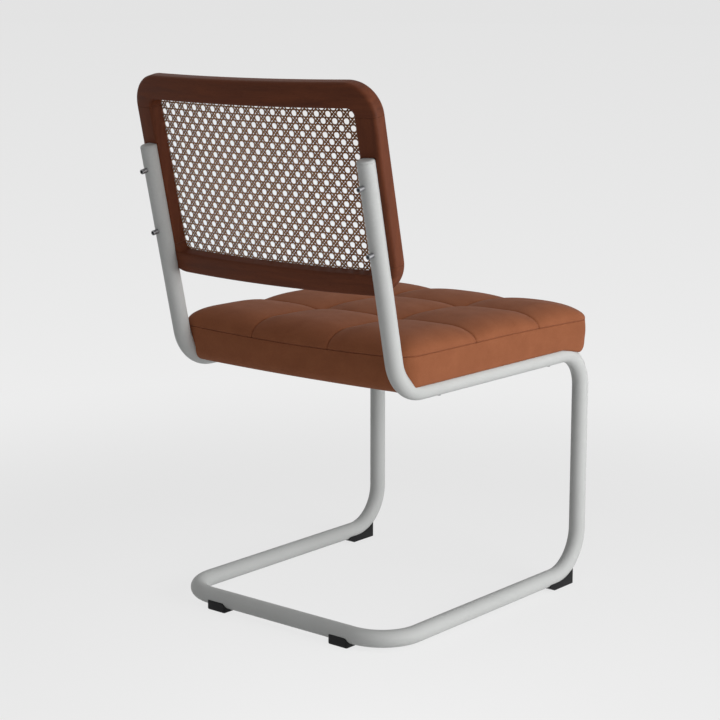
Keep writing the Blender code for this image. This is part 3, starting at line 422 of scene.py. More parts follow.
napCloth = mottledMaterial("napCloth", rgb(0.355, 0.124, 0.055), rgb(0.268, 0.090, 0.040), (0.72, 0.88),
                           (0.30, 0.0006), patch=0.030, grain=0.0013, share=0.55, worn=rgb(0.40, 0.155, 0.078),
                           wear=0.25, Sheen_Weight=0.04, Sheen_Roughness=0.5, Specular_IOR_Level=0.1)


# camera, at the photograph's angle
view = {
    "place": (-1.73429, 2.10243, 0.89326),
    "target": (0.0823, -0.07154, 0.3429),
    "lens": 92.44,
}
cameraData = bpy.data.cameras.new("photoCamera")
cameraData.lens = view["lens"]
cameraData.sensor_width = 36
camera = newObject("photoCamera", cameraData)
camera.location = view["place"]
camera.rotation_euler = (Vector(view["target"]) - Vector(view["place"])).to_track_quat("-Z", "Y").to_euler()
bpy.context.scene.camera = camera
bpy.context.scene.view_settings.view_transform = "Standard"

# floor, world and lamps
studio = {
    "nearTone": 0.98,
    "farTone": 0.770,
    "toneShift": (-0.40, 0.48, 0),   # the brightest spot of the floor, toward the camera
    "floorSize": 60,
    "floorColor": 0.80,
    "toneReach": 1.2,      # how far from its brightest spot the floor is half way to the far tone
    "glow": 0.82,          # share of the floor that shows its own tone, below the chair
    "glowFade": (0.6, 1.7),   # from here to there it rises to all of it
    "worldLight": 0.29,
    "keyPlace": (-3.20, -0.50, 0.88),
    "keyPower": 87,
    "keySize": 2.4,
    "topPlace": (-0.3, 0.2, 3.2),
    "topPower": 4,
    "topSize": 2.6,
}


def cameraLike(tree):
    # one for camera, glossy and transmitted rays
    path = tree.nodes.new("ShaderNodeLightPath")
    first = maths(tree, "MAXIMUM", (path, "Is Camera Ray"), (path, "Is Glossy Ray"))
    return maths(tree, "MAXIMUM", first, (path, "Is Transmission Ray"))


def lengthOf(tree, vector):
    return addNode(tree, "ShaderNodeVectorMath", {0: vector}, operation="LENGTH"), "Value"


def makeFloor():
    # its own tone falls off as reach / (distance + reach); a share of shaded surface holds the chair's shadow
    size = studio["floorSize"]
    reach = studio["toneReach"]
    corners = np.array([[-1, -1, 0], [1, -1, 0], [1, 1, 0], [-1, 1, 0]], float) * size
    material = bpy.data.materials.new("paleFloor")
    material.use_nodes = True
    tree = material.node_tree
    tree.nodes.clear()
    place = (tree.nodes.new("ShaderNodeTexCoord"), "Object")
    fade = remap(tree, lengthOf(tree, place), *studio["glowFade"], studio["glow"], 1.0,
                 interpolation_type="SMOOTHSTEP")
    shifted = addNode(tree, "ShaderNodeVectorMath", {0: place, 1: studio["toneShift"]}, operation="SUBTRACT")
    further = maths(tree, "ADD", lengthOf(tree, (shifted, "Vector")), reach)
    tone = remap(tree, maths(tree, "DIVIDE", reach, further), 0.0, 1.0, studio["farTone"], studio["nearTone"])
    diffuse = addNode(tree, "ShaderNodeBsdfDiffuse", {"Color": rgb(*[studio["floorColor"]] * 3)})
    glow = addNode(tree, "ShaderNodeEmission", {"Color": tone})
    mix = addNode(tree, "ShaderNodeMixShader", {0: maths(tree, "MULTIPLY", fade, cameraLike(tree)),
                                                1: (diffuse, 0), 2: (glow, 0)})
    addNode(tree, "ShaderNodeOutputMaterial", {"Surface": (mix, 0)})
    floor = newPiece("studioFloor", corners, [(0, 1, 2, 3)], material, closed=False, sharp=0)


def makeWorld():
    world = bpy.data.worlds.new("softStudio")
    bpy.context.scene.world = world
    world.use_nodes = True
    tree = world.node_tree
    tree.nodes.clear()
    strength = addNode(tree, "ShaderNodeMix", {0: cameraLike(tree), 2: studio["worldLight"], 3: studio["farTone"]},
                       data_type="FLOAT")
    back = addNode(tree, "ShaderNodeBackground", {"Color": rgb(1, 1, 1), "Strength": (strength, 0)})
    addNode(tree, "ShaderNodeOutputWorld", {"Surface": (back, 0)})


def makeLamp(name, place, power, size, aim=(0, 0, 0.4)):
    data = bpy.data.lights.new(name, "AREA")
    assign(data, energy=power, size=size)
    lamp = newObject(name, data)
    lamp.location = place
    lamp.rotation_euler = (Vector(aim) - Vector(place)).to_track_quat("-Z", "Y").to_euler()


makeFloor()
makeWorld()
makeLamp("keyLamp", studio["keyPlace"], studio["keyPower"], studio["keySize"])
makeLamp("topLamp", studio["topPlace"], studio["topPower"], studio["topSize"])
print("stage done")

# bent tube with its end plugs
tube = {
    "sides": 48,
    "stepAngle": math.radians(4),
    "plugHeight": 0.0038,
    "plugEdge": 0.0035,
    "plugShank": 0.014,
    "plugGap": 0.0004,         # between its shank and the bore
    "plugChamfer": 0.0005,
    "plugCrown": 0.0002,
}


def tubeCorners(x):
    # where the straight runs of one side would meet
    across = np.array([x, 0, 0])
    return [across + postFoot + upPost * lines["postLength"],
            across + postFoot,
            np.array([x, lines["legY"], lines["railHeight"]]),
            np.array([x, lines["legY"], lines["runnerHeight"]]),
            np.array([x, lines["floorBarY"], lines["runnerHeight"]])]


def tubeLine(stepAngle):
    # from the top of the left post round to the top of the right one
    corners = tubeCorners(lines["halfSpacing"]) + tubeCorners(-lines["halfSpacing"])[::-1]
    radii = lines["bends"] + lines["bends"][::-1]
    return bentLine(corners, radii, stepAngle)


def makeTube():
    # circles carried along the line: the outside there, the bore on the way back
    spots, runs, across = tubeLine(tube["stepAngle"])
    count = tube["sides"]
    outer = sweepRound(spots, runs, across, lines["tubeRadius"], count)
    inner = sweepRound(spots, runs, across, lines["tubeRadius"] - lines["tubeWall"], count)
    rows = np.concatenate([outer, inner[::-1]])
    newPiece("bentTube", rows, gridQuads(len(rows), count, True, True), tubePaint, "painted_tube",
             ["frame_tube"], sharp=45)


def makeTubeCutter(count, stepAngle):
    # the solid tube, a touch thicker, for hollowing what lies against it
    spots, runs, across = tubeLine(stepAngle)
    rows = sweepRound(spots, runs, across, tubeClear, count)
    return newPiece("tubeCutter", rows, cappedFaces(len(rows), count), tubePaint)


def makePlugs():
    # a shank in the bore, a quarter round rim and a low crown
    radius = lines["tubeRadius"]
    bore = radius - lines["tubeWall"] - tube["plugGap"]
    edge = tube["plugEdge"]
    angles = np.linspace(0, np.pi / 2, 9)
    rim = together(tube["plugHeight"] - edge + edge * np.sin(angles), radius - edge + edge * np.cos(angles))
    dome = [(tube["plugHeight"] + tube["plugCrown"] * (1 - s ** 2), (radius - edge) * s) for s in (0.7, 0.35, 0.02)]
    chamfer = tube["plugChamfer"]
    profile = np.array([(-tube["plugShank"], bore - chamfer), (-tube["plugShank"] + chamfer, bore),
                        (lines["touch"], bore), (lines["touch"], radius)] + rim.tolist() + dome)
    for side, sign in sides:
        turnedPiece("endPlug_" + side, profile, onPost(sign, lines["postLength"]), upPost, tubePaint,
                    "painted_tube", ["tube_end_plug_" + side], count=48)


makeTube()
makePlugs()
print("tube done")

# wooden back: two rails and two stiles, hollow towards the sitter
back = {
    "halfWidth": 0.2215,
    "bottom": 0.1397,
    "top": 0.4324,
    "thickness": 0.0245,
    "curveRadius": 1.65,
    "postLetIn": 0.0072,
    "topRail": 0.0351,
    "bottomRail": 0.0299,
    "stile": 0.0335,
    "topCorner": 0.047,
    "bottomCorner": 0.048,
    "openingCorner": 0.012,
    "rearEdge": 0.0048,
    "frontEdge": 0.0085,
    "openingEdge": 0.0045,
    "rebate": (0.010, 0.003),
    "groove": (0.005, 0.004),
    "cornerSteps": 20,
    "railSteps": 40,
    "stileSteps": (8, 12),     # along its round foot, and above that
    "edgeSteps": 7,
    "cutBelow": 0.05,          # the posts' grooves run out past the wood
    "cutAbove": 0.0006,
    "cutSides": 64,
}
backRearFace = back["postLetIn"] - lines["tubeRadius"] + lines["halfSpacing"] ** 2 / (2 * back["curveRadius"])
backFrontFace = backRearFace - back["thickness"]
openingHalf = back["halfWidth"] - back["stile"]
openingTop = back["top"] - back["topRail"]
openingBottom = back["bottom"] + back["bottomRail"]
topJoint = openingTop - back["openingCorner"]
bottomJoint = openingBottom + back["openingCorner"]


def onBack(x, height, depth):
    # x across; height along the posts; depth behind the front face, which sags as x squared over 2 R
    offset = backFrontFace + depth - x ** 2 / (2 * back["curveRadius"])
    return together(x, 0, 0) + postFoot + upPost * height[..., None] + behindPost * offset[..., None]


def backSection():
    # the wood's outline: an edge flag (0 opening, 1 outer), the distance in from that edge, and the depth
    thick = back["thickness"]
    angle = np.linspace(0, np.pi / 2, back["edgeSteps"])
    rows = []
    for flag, radius, centre, start in ((0, back["openingEdge"], thick - back["openingEdge"], np.pi),
                                        (1, back["rearEdge"], thick - back["rearEdge"], np.pi / 2),
                                        (1, back["frontEdge"], back["frontEdge"], 0.0)):
        a = start - angle
        rows.append(together(flag, radius - radius * np.abs(np.cos(a)), centre + radius * np.sin(a)))
    width, depth = back["rebate"]
    grooveWidth, grooveDepth = back["groove"]
    floor = depth + grooveDepth
    rows.append(np.array([(0, width, 0), (0, width, floor), (0, width - grooveWidth, floor),
                          (0, width - grooveWidth, depth), (0, 0, depth)]))
    return np.concatenate(rows)


def barRows(inner, innerOut, outer, outerOut):
    # each station's ring: points set in from the opening's edge or from the outer edge
    section = backSection()
    fromOuter = section[:, 0][None, :, None]
    away = section[:, 1][None, :, None]
    place = ((1 - fromOuter) * (inner[:, None] + innerOut[:, None] * away)
             + fromOuter * (outer[:, None] - outerOut[:, None] * away))
    return onBack(place[..., 0], place[..., 1], section[:, 2][None, :])


def railStations(top):
    # from one end round its corner, along the rail and round the other corner: the points on the opening's edge
    # and on the outer edge, each with its outward direction
    turn = 1 if top else -1
    innerHeight = openingTop if top else openingBottom
    outerHeight = back["top"] if top else back["bottom"]
    outerRadius = back["topCorner"] if top else back["bottomCorner"]
    joint = topJoint if top else bottomJoint
    innerX = openingHalf - back["openingCorner"]
    outerX = back["halfWidth"] - outerRadius
    outerCentre = outerHeight - turn * outerRadius
    start = math.asin(max(-1.0, min(1.0, turn * (joint - outerCentre) / outerRadius)))
    share = np.linspace(0, 1, back["cornerSteps"] + 1)
    a = share * np.pi / 2
    b = start + share * (np.pi / 2 - start)
    innerOut = together(np.cos(a), turn * np.sin(a))
    outerOut = together(np.cos(b), turn * np.sin(b))
    inner = np.array([innerX, innerHeight - turn * back["openingCorner"]]) + back["openingCorner"] * innerOut
    outer = np.array([outerX, outerCentre]) + outerRadius * outerOut
    outerOut[0] = (1, 0)
    middle = np.linspace(1, -1, back["railSteps"] + 2)[1:-1]
    straight = np.repeat([[0.0, turn]], len(middle), axis=0)
    runs = ((inner, together(middle * innerX, innerHeight)), (innerOut, straight),
            (outer, together(middle * outerX, outerHeight)), (outerOut, straight))
    return [np.concatenate([corner, run, corner[::-1] * np.array([-1, 1])]) for corner, run in runs]


def stileStations(sign):
    # upwards between the rails; the outer edge starts on the bottom corner's circle
    low = bottomJoint + lines["touch"]
    high = topJoint - lines["touch"]
    curveEnd = back["bottom"] + back["bottomCorner"]
    height = np.concatenate([np.linspace(low, curveEnd, back["stileSteps"][0]),
                             np.linspace(curveEnd, high, back["stileSteps"][1])[1:]])
    rise = np.where(height < curveEnd, height - curveEnd, 0)
    radius = back["bottomCorner"]
    bulge = np.sqrt(radius ** 2 - rise ** 2)
    outer = together(sign * (back["halfWidth"] - radius + bulge), height)
    outerOut = together(sign * bulge / radius, rise / radius)
    outerOut[0] = (sign, 0)
    inner = together(sign * openingHalf, height)
    innerOut = np.repeat([[float(sign), 0.0]], len(height), axis=0)
    return inner, innerOut, outer, outerOut


def makeBar(name, stations, material, node, cutters):
    rows = barRows(*stations)
    bar = newPiece(name, rows, cappedFaces(len(rows), rows.shape[1]), material, "stained_wood", [node])
    carve(bar, cutters, sharp=30)


def makeBack():
    cutters = []
    ends = (back["bottom"] - back["cutBelow"], lines["postLength"] + tube["plugHeight"] + back["cutAbove"])
    for side, sign in sides:
        rows = turnedRows([(end, tubeClear) for end in ends], onPost(sign, 0), upPost, back["cutSides"])
        cutters.append(newPiece("postCutter_" + side, rows, cappedFaces(2, back["cutSides"]), railStain))
    makeBar("topRail", railStations(True), railStain, "back_top_rail", cutters)
    makeBar("bottomRail", railStations(False), railStain, "back_bottom_rail", cutters)
    for side, sign in sides:
        makeBar("stile_" + side, stileStations(sign), stileStain, "back_stile_" + side, cutters)
    for cutter in cutters:
        dropObject(cutter)


makeBack()
print("wooden back done")

# woven cane: pairs of strands at 45 degrees, and single strands across and up
cane = {
    "pitch": 0.019,            # between the eyes of one row
    "centre": (-0.0065, 0.280),
    "depth": 0.00205,          # of its middle, behind the front face
    "pairGap": 0.0016,         # from a pair's middle to each strand
    "pairWidth": 0.0021,
    "singleWidth": 0.0016,
    "thickness": 0.00042,
    "pairWave": 0.00030,
    "singleWave": 0.00046,
    "foldAway": 0.0053,        # where the strands turn into the groove
    "foldDepth": 0.0032,
    "flatten": 0.006,          # how far before the fold the weave starts to flatten
    "reach": 26,               # pairs each way from the middle
    "uvShift": 0.37,           # keeps neighbours' fibres different
}


def caneMaterial():
    # fibres along each strand: tan ridges on a dark brown stain; the tan is partly the cane's own fibre tone and
    # wear, partly painted highlight for the glints on the strands' glossy tops
    material, tree, shader = newMaterial("caneStrand", Specular_IOR_Level=0.12)
    fibres = addNode(tree, "ShaderNodeTexNoise", {
        "Vector": placeCoordinates(tree, stretch=(60, 2600, 1), source="UV"), "Scale": 1.0, "Detail": 3,
        "Roughness": 0.6})
    # partly painted highlight: the tan share of this mix stands in for glints on the strands' tops, besides their own
    # fibre tone
    fibreToneAndHighlight = mixTones(tree, remap(tree, (fibres, "Fac"), 0.42, 0.66), rgb(0.23, 0.088, 0.034), rgb(0.62, 0.31, 0.13))
    mottle = placeGroup(tree, mottleGroup, {"Vector": placeCoordinates(tree), "Patch Size": 0.03,
                                            "Grain Size": 0.002, "Grain Share": 0.4, "Base": rgb(1, 1, 1),
                                            "Second": rgb(0.78, 0.72, 0.66), "Smoothest": 0.38, "Roughest": 0.6})
    raised = addNode(tree, "ShaderNodeBump", {"Height": (fibres, "Fac"), "Strength": 0.35, "Distance": 0.0002})
    setInputs(tree, shader, {"Base Color": mixTones(tree, 1.0, fibreToneAndHighlight, (mottle, "Color"), "MULTIPLY"),
                             "Roughness": (mottle, "Roughness"), "Normal": (raised, "Normal")})
    return material


def edgeDistance(x, height):
    # distance outside the line where the cane folds, a rounded rectangle, and the nearest point on it
    middle = (openingTop + openingBottom) / 2
    radius = back["openingCorner"] + cane["foldAway"]
    halfX = openingHalf + cane["foldAway"] - radius
    halfUp = (openingTop - openingBottom) / 2 + cane["foldAway"] - radius
    fromX = np.abs(x) - halfX
    fromUp = np.abs(height - middle) - halfUp
    overX = np.maximum(fromX, 0)
    overUp = np.maximum(fromUp, 0)
    outside = np.hypot(overX, overUp)
    distance = np.where(outside > 0, outside, np.maximum(fromX, fromUp)) - radius
    scale = np.where(outside > 0, np.minimum(1, radius / np.maximum(outside, 1e-9)), 1)
    heldX = np.sign(x) * (np.abs(x) - overX + overX * scale)
    heldUp = middle + np.sign(height - middle) * (np.abs(height - middle) - overUp + overUp * scale)
    return distance, heldX, heldUp


def strandSurface(origin, direction, starts, stations, waves, width):
    # strands as flat lens-shaped ribbons: station along, width across, wave in depth; ends fold into the groove
    direction = np.asarray(direction)
    across = np.array([-direction[1], direction[0]])
    spot = origin + starts[:, None, None] * across + stations[..., None] * direction
    distance, _, _ = edgeDistance(spot[..., 0], spot[..., 1])
    inside = distance < cane["foldDepth"]
    thick = cane["thickness"]
    profile = np.array([[-width / 2, 0], [0, -thick / 2], [width / 2, 0], [0, thick / 2]])
    flat = spot[..., None, :] + profile[:, 0][:, None] * across
    distance, heldX, heldUp = edgeDistance(flat[..., 0], flat[..., 1])
    beyond = np.maximum(distance, 0)
    settle = np.clip(1 + distance / cane["flatten"], 0, 1)
    wave = waves[..., None] * (1 - settle)
    depth = cane["depth"] + wave + profile[:, 1] + beyond
    points = onBack(heldX, heldUp, depth)
    many, steps = inside.shape
    index = np.arange(many * steps * 4).reshape(many, steps, 4)
    keep = inside[:, :-1] & inside[:, 1:]
    here = index[:, :-1][keep]
    after = index[:, 1:][keep]
    quads = [np.stack([here[:, k], after[:, k], after[:, (k + 1) % 4], here[:, (k + 1) % 4]], axis=1)
             for k in range(4)]
    first = np.argmax(inside, axis=1)
    final = steps - 1 - np.argmax(inside[:, ::-1], axis=1)
    used = inside.any(axis=1) & (final - first > 1)
    row = np.arange(many)[used]
    caps = [index[row, first[used]], index[row, final[used]][:, ::-1]]
    faces = np.concatenate(quads + caps)
    maps = together(stations[..., None], profile[:, 0] + starts[:, None, None] * cane["uvShift"])
    return points.reshape(-1, 3), faces, maps.reshape(-1, 2)


def makeCanePiece(name, families, material):
    # the strands of some families as one mesh, mapped along and across each strand
    points, faces, maps = [], [], []
    total = 0
    for family in families:
        p, f, m = strandSurface(*family)
        used = np.unique(f)
        renumber = np.zeros(len(p), int)
        renumber[used] = np.arange(len(used))
        points.append(p[used])
        faces.append(renumber[f] + total)
        maps.append(m[used])
        total += len(used)
    points, faces, maps = [np.concatenate(parts) for parts in (points, faces, maps)]
    if insideOut(points, faces.tolist()):
        faces = faces[:, ::-1]
    piece = newPiece(name, points, faces, material, "cane", ["cane_panel"], sharp=0, closed=False)
    layer = piece.data.uv_layers.new(name="strandMap")
    layer.data.foreach_set("uv", maps[faces.reshape(-1)].astype(np.float32).reshape(-1))


def makeCane():
    material = caneMaterial()
    centre = np.array(cane["centre"])
    pitch = cane["pitch"] / math.sqrt(2)
    gap = cane["pairGap"]
    reach = cane["reach"]
    pairs = []
    # stations follow the weave: over and under at each crossing, then level between
    knots = (np.arange(-reach, reach) + 0.5) * pitch
    offsets = np.array([-0.40, -0.28, -0.19, -gap / pitch, -0.03, 0.03, gap / pitch, 0.19, 0.28]) * pitch
    pattern = np.array([0, 0, -0.35, -1, -0.2, 0.2, 1, 0.35, 0])
    stations = (knots[:, None] + offsets).reshape(-1)
    waves = np.tile(pattern, len(knots)) * cane["pairWave"]
    diagonal = np.array([1, 1]) / math.sqrt(2)
    other = np.array([-1, 1]) / math.sqrt(2)
    for direction, sense in ((diagonal, 1), (other, -1)):
        for shift, turn in ((-gap, 1), (gap, -1)):
            starts = knots + shift
            grid = np.broadcast_to(stations, (len(starts), len(stations)))
            flow = np.broadcast_to(waves * turn * sense, grid.shape)
            pairs.append((centre, direction, starts, grid, flow, cane["pairWidth"]))
    makeCanePiece("canePairs", pairs, material)
    singles = []
    half = cane["pitch"] / 2
    rowPlaces = (np.arange(-2 * reach, 2 * reach) + 0.5) * half
    offsets = np.array([-0.5, -0.33, -0.17, 0, 0.17, 0.33]) * half
    for direction, sense in ((np.array([1.0, 0.0]), 1), (np.array([0.0, 1.0]), -1)):
        stations = (rowPlaces[:, None] + offsets).reshape(-1)
        swing = np.cos(np.pi * (stations / half - 0.5))
        rowSign = np.where(np.arange(len(rowPlaces)) % 2 == 0, 1, -1)
        grid = np.broadcast_to(stations, (len(rowPlaces), len(stations)))
        flow = sense * cane["singleWave"] * rowSign[:, None] * swing[None]
        singles.append((centre, direction, rowPlaces, grid, flow, cane["singleWidth"]))
    makeCanePiece("caneSingles", singles, material)


def openingLoop(cornerSteps, longSteps):
    # once round the opening: the edge point and its outward direction
    innerX = openingHalf - back["openingCorner"]
    low = openingBottom + back["openingCorner"]
    high = openingTop - back["openingCorner"]
    corners = np.array([(innerX, high), (-innerX, high), (-innerX, low), (innerX, low)])
    share = np.linspace(0, 1, longSteps + 1)[1:-1, None]
    spots, outs = [], []
    for number, (corner, following) in enumerate(zip(corners, np.roll(corners, -1, axis=0))):
        angle = np.radians(90 * number + np.linspace(0, 90, cornerSteps + 1))
        out = together(np.cos(angle), np.sin(angle))
        run = corner + (following - corner) * share
        spots += [corner + back["openingCorner"] * out, run + back["openingCorner"] * out[-1:]]
        outs += [out, np.repeat(out[-1:], len(share), axis=0)]
    return np.concatenate(spots), np.concatenate(outs)


spline = {
    "inset": 0.0019,           # room for the cane between it and the groove's inner wall
    "crownFoot": 0.0014,       # depths behind the front face
    "crownRise": 0.0009,
    "crownSteps": 9,
    "cornerSteps": 10,
    "longSteps": 24,
}


def makeSpline():
    # a bead round the opening: square in the groove, half an ellipse on its face
    width, depth = back["rebate"]
    grooveWidth, grooveDepth = back["groove"]
    inner = width - grooveWidth + spline["inset"]
    outer = width - lines["touch"]
    angle = np.linspace(0, np.pi, spline["crownSteps"])
    crown = together((inner + outer) / 2 + (outer - inner) / 2 * np.cos(angle),
                     spline["crownFoot"] - spline["crownRise"] * np.sin(angle))
    floor = depth + grooveDepth - lines["touch"]
    section = np.concatenate([[(inner, floor), (outer, floor)], crown])
    spots, outs = openingLoop(spline["cornerSteps"], spline["longSteps"])
    place = spots[:, None] + outs[:, None] * section[None, :, 0:1]
    rows = onBack(place[..., 0], place[..., 1], section[None, :, 1])
    newPiece("splineBead", rows, gridQuads(len(rows), len(section), True, True), splineStain, "stained_wood",
             ["cane_spline"])


makeCane()
makeSpline()
print("cane done")

# screws
fasteners = {
    "backHeights": (0.2058, 0.2975),
    "headRadius": 0.0036,
    "headHeight": 0.010,
    "headEdge": 0.0009,
    "shankRadius": 0.003,
    "grip": 0.0075,
    "recess": 0.0023,
    "socketFloor": 0.6,        # as a share of the head's height
    "socketTaper": 0.98,
    "socketMouth": 1.22,
    "headChamfer": 0.0003,
    "tipChamfer": 0.001,
    "seatSetbacks": (0.090, 0.360),
    "seatHeadHeight": 0.0005,
    "seatHeadRadius": 0.0038,
    "seatRecess": (0.0013, 0.0014),
    "seatShankRadius": 0.0025,
    "seatGrip": 0.0095,
    "seatSocketDepth": 0.0006,
    "seatPoint": (0.003, 0.0008),   # its length, and the tip's radius
}


def hexShape(angle):
    # radius of a hexagon with its flats at one, by angle
    return 1 / np.cos((angle + np.pi / 6) % (np.pi / 3) - np.pi / 6)


def crossShape(angle):
    # radius of a cross recess, wide at its four arms
    return 0.42 + 0.58 * np.abs(np.cos(2 * angle)) ** 3


def makeScrew(kind, place, profile, centre, axis, recessShape):
    turnedPiece(kind + "Screw_" + place, profile, centre, axis, blackenedSteel, "dark_steel",
                [kind + "_screw_" + place], count=48, recessShape=recessShape, sharp=32)


def makeBackScrews():
    # profile from the socket's floor over the head's round edge down to the tip
    radius = fasteners["headRadius"]
    tall = fasteners["headHeight"]
    base = tubeClear
    shank = fasteners["shankRadius"]
    tip = -(lines["tubeRadius"] + fasteners["grip"])
    recess = fasteners["recess"]
    a = np.linspace(0, np.pi / 2, 6)
    edge = fasteners["headEdge"]
    shoulder = together(base + tall - edge + edge * np.cos(a), radius - edge + edge * np.sin(a))
    small = fasteners["headChamfer"]
    blunt = fasteners["tipChamfer"]
    profile = np.array([(base + tall * fasteners["socketFloor"], recess * fasteners["socketTaper"]),
                        (base + tall - small, recess), (base + tall, recess * fasteners["socketMouth"])]
                       + shoulder.tolist() + [(base + small, radius), (base, radius - small), (base, shank),
                                              (tip + blunt, shank), (tip, shank - blunt)])
    for side, sign in sides:
        for level, height in zip(("lower", "upper"), fasteners["backHeights"]):
            makeScrew("back", level + "_" + side, profile, onPost(sign, height), behindPost, hexShape)


def makeSeatScrews():
    # the same with a low dome for a head
    head = fasteners["seatHeadRadius"]
    shank = fasteners["seatShankRadius"]
    floorRadius, mouthRadius = fasteners["seatRecess"]
    base = tubeClear
    tip = -(lines["tubeRadius"] + fasteners["seatGrip"])
    a = np.linspace(0.40, 1.0, 7) * np.pi / 2
    tall = fasteners["seatHeadHeight"]
    dome = together(base + tall * np.cos(a), head * np.sin(a))
    taper, tipRadius = fasteners["seatPoint"]
    profile = np.array([(base - fasteners["seatSocketDepth"], floorRadius), (base + tall * 0.85, mouthRadius)]
                       + dome.tolist() + [(base, shank), (tip + taper, shank), (tip, tipRadius)])
    for side, sign in sides:
        for end, setback in zip(("front", "rear"), fasteners["seatSetbacks"]):
            centre = np.array([sign * lines["halfSpacing"], lines["legY"] + setback, lines["railHeight"]])
            makeScrew("seat", end + "_" + side, profile, centre, (0, 0, -1), crossShape)


makeBackScrews()
makeSeatScrews()
print("screws done")

# upholstered seat: a sewn cover of nine pads, blown out by a short cloth simulation
seat = {
    "halfX": 0.217,
    "front": -0.28154,
    "rear": 0.18596,
    "frontCorner": 0.048,
    "rearCorner": 0.026,
    "cornerFade": 0.12,        # how far in from the edge the rings of the grid keep round corners
    "rearBow": 0.010,          # of the lower edge
    "frontBow": 0.003,
    "boxing": 0.0535,          # heights above the rails' centre line
    "boxingFrontDrop": 0.0055,
    "boxingRearDrop": 0.0055,
    "junction": 0.0665,        # where two seams cross
    "arch": 0.0072,            # rise of a pad between its seams, each way
    "frontDrop": 0.0015,
    "sideRound": 0.050,        # how far in the top rounds over to the boxing seam
    "frontRound": 0.1165,
    "frontBlend": 0.06,
    "sideBulge": 0.0022,
    "rim": 0.001,
    "sideTuck": 0.0045,
    "frontTuck": 0.015,
    "cornerTuck": 0.009,
    "rearTuck": 0.020,
    "rearDraw": 0.006,
    "bottom": -0.001,
    "sideBottom": 0.009,
    "lipStart": -0.245,        # the side lip rises behind this line
    "lipFade": 0.05,
    "wallSwell": 0.0012,
    "turnedUnder": 0.011,
    "leastUnder": 0.0008,
    "clothThickness": 0.0012,
    "step": 0.0052,
    "pressure": 4.0,
    "stiffness": 12,
    "bending": 0.6,
    "swellCap": 0.0022,
    "swellFade": (0.005, 0.012),   # towards a seam, and towards the rim
    "frames": 20,
    "heldBeside": 0.002,       # cloth this close to a seam doesn't swell
    "freeRows": (6, 12),       # rows of the side that are free in the simulation
    "swellRows": (5, 15),      # rows of the side that keep part of their swell
    "sideSwell": 0.6,
    "seamGroove": 0.0021,
    "seamWidth": 0.0013,
    "boxingGroove": 0.0013,
    "pucker": 0.00022,
    "puckerPitch": 0.0093,
    "puckerDrift": (1.5, 37),      # how much the pitch wanders, and how often
    "puckerChange": (0.4, 0.051),   # how much their depth changes along the seam, and over what length
}
seatHalfY = (seat["rear"] - seat["front"]) / 2
seatMiddleY = (seat["rear"] + seat["front"]) / 2


def spacedLines(half):
    # grid lines from rim to rim: close at the rim and beside the two seams
    third = 2 * half / 3
    nearEdge = np.array([seat["rim"], 0.0026, 0.0048, 0.0078, 0.0115, 0.0158])
    nearSeam = np.array([0, 0.0006, 0.0016, 0.0034, 0.0064])

    def span(low, high, lowSteps, highSteps):
        start = low + lowSteps[-1]
        end = high - highSteps[-1]
        count = max(2, round((end - start) / seat["step"]))
        return np.concatenate([low + lowSteps[:-1], np.linspace(start, end, count + 1), high - highSteps[-2:0:-1]])
    return np.concatenate([span(-half, -half + third, nearEdge, nearSeam),
                           span(-half + third, half - third, nearSeam, nearSeam),
                           span(half - third, half, nearSeam, nearEdge), [half - seat["rim"]]])


def seatTop(x, y, inset=0.0):
    # the top over a square plan: each square ring is laid on a rounded rectangle as far in from the edge
    halfX, halfY = seat["halfX"], seatHalfY
    depth = np.minimum(halfX - np.abs(x), halfY - np.abs(y))
    radius = np.where(y > 0, seat["rearCorner"], seat["frontCorner"]) * np.clip(1 - depth / seat["cornerFade"], 0, 1)
    radius = np.maximum(radius, 1e-6)
    a = (np.abs(x) - (halfX - depth - radius)) / radius
    b = (np.abs(y) - (halfY - depth - radius)) / radius
    corner = (a > 1e-6) & (b > 1e-6)
    low = np.clip(np.minimum(a, b), 0, 1)
    turn = np.where(a >= b, np.pi / 4 * low, np.pi / 2 - np.pi / 4 * low)
    acrossSide = halfX - np.abs(x) <= halfY - np.abs(y)
    outX = np.where(corner, np.sign(x) * np.cos(turn), np.where(acrossSide, np.sign(x), 0))
    outY = np.where(corner, np.sign(y) * np.sin(turn), np.where(acrossSide, 0, np.sign(y)))
    planX = np.where(corner, np.sign(x) * (halfX - depth - radius) + radius * outX, x)
    planY = np.where(corner, np.sign(y) * (halfY - depth - radius) + radius * outY, y)
    # the top leaves the boxing seam as part of an ellipse, a longer one at the front
    frontness = np.clip(1 - (halfY - depth + y) / seat["frontBlend"], 0, 1)
    width = seat["sideRound"] + (seat["frontRound"] - seat["sideRound"]) * frontness ** 2 * (3 - 2 * frontness)
    level = 1 - np.clip(depth / width, 0, 1)
    rise = np.sqrt(1 - level ** 2)
    seamX = np.abs(np.abs(x) - halfX / 3)
    seamY = np.abs(np.abs(y) - halfY / 3)
    archX, archY = [1 - (1 - np.clip(seam / (half / 3), 0, 1)) ** 3
                    for seam, half in ((seamX, halfX), (seamY, halfY))]
    forward = np.clip(-y / halfY, 0, 1) ** 1.5
    boxing = (seat["boxing"] - seat["boxingFrontDrop"] * forward
              - seat["boxingRearDrop"] * np.clip(y / halfY, 0, 1) ** 4 * (1 - (x / halfX) ** 2))
    full = seat["junction"] + seat["arch"] * (archX + archY) - seat["frontDrop"] * forward - boxing
    bulge = seat["sideBulge"] * np.where(acrossSide, archY, archX) * np.sin(np.pi * rise)
    bow = -seat["frontBow"] * np.clip(-y / halfY, 0, 1) ** 2 * (1 - (x / halfX) ** 2)
    normal = together(outX * level * full, outY * level * full, width * rise)
    normal /= np.linalg.norm(normal, axis=-1)[..., None]
    points = together(planX + outX * bulge, seatMiddleY + planY + outY * bulge + bow,
                      lines["railHeight"] + boxing + full * rise) - normal * inset
    return points, normal, together(outX, outY), boxing, depth, np.minimum(seamX, seamY)


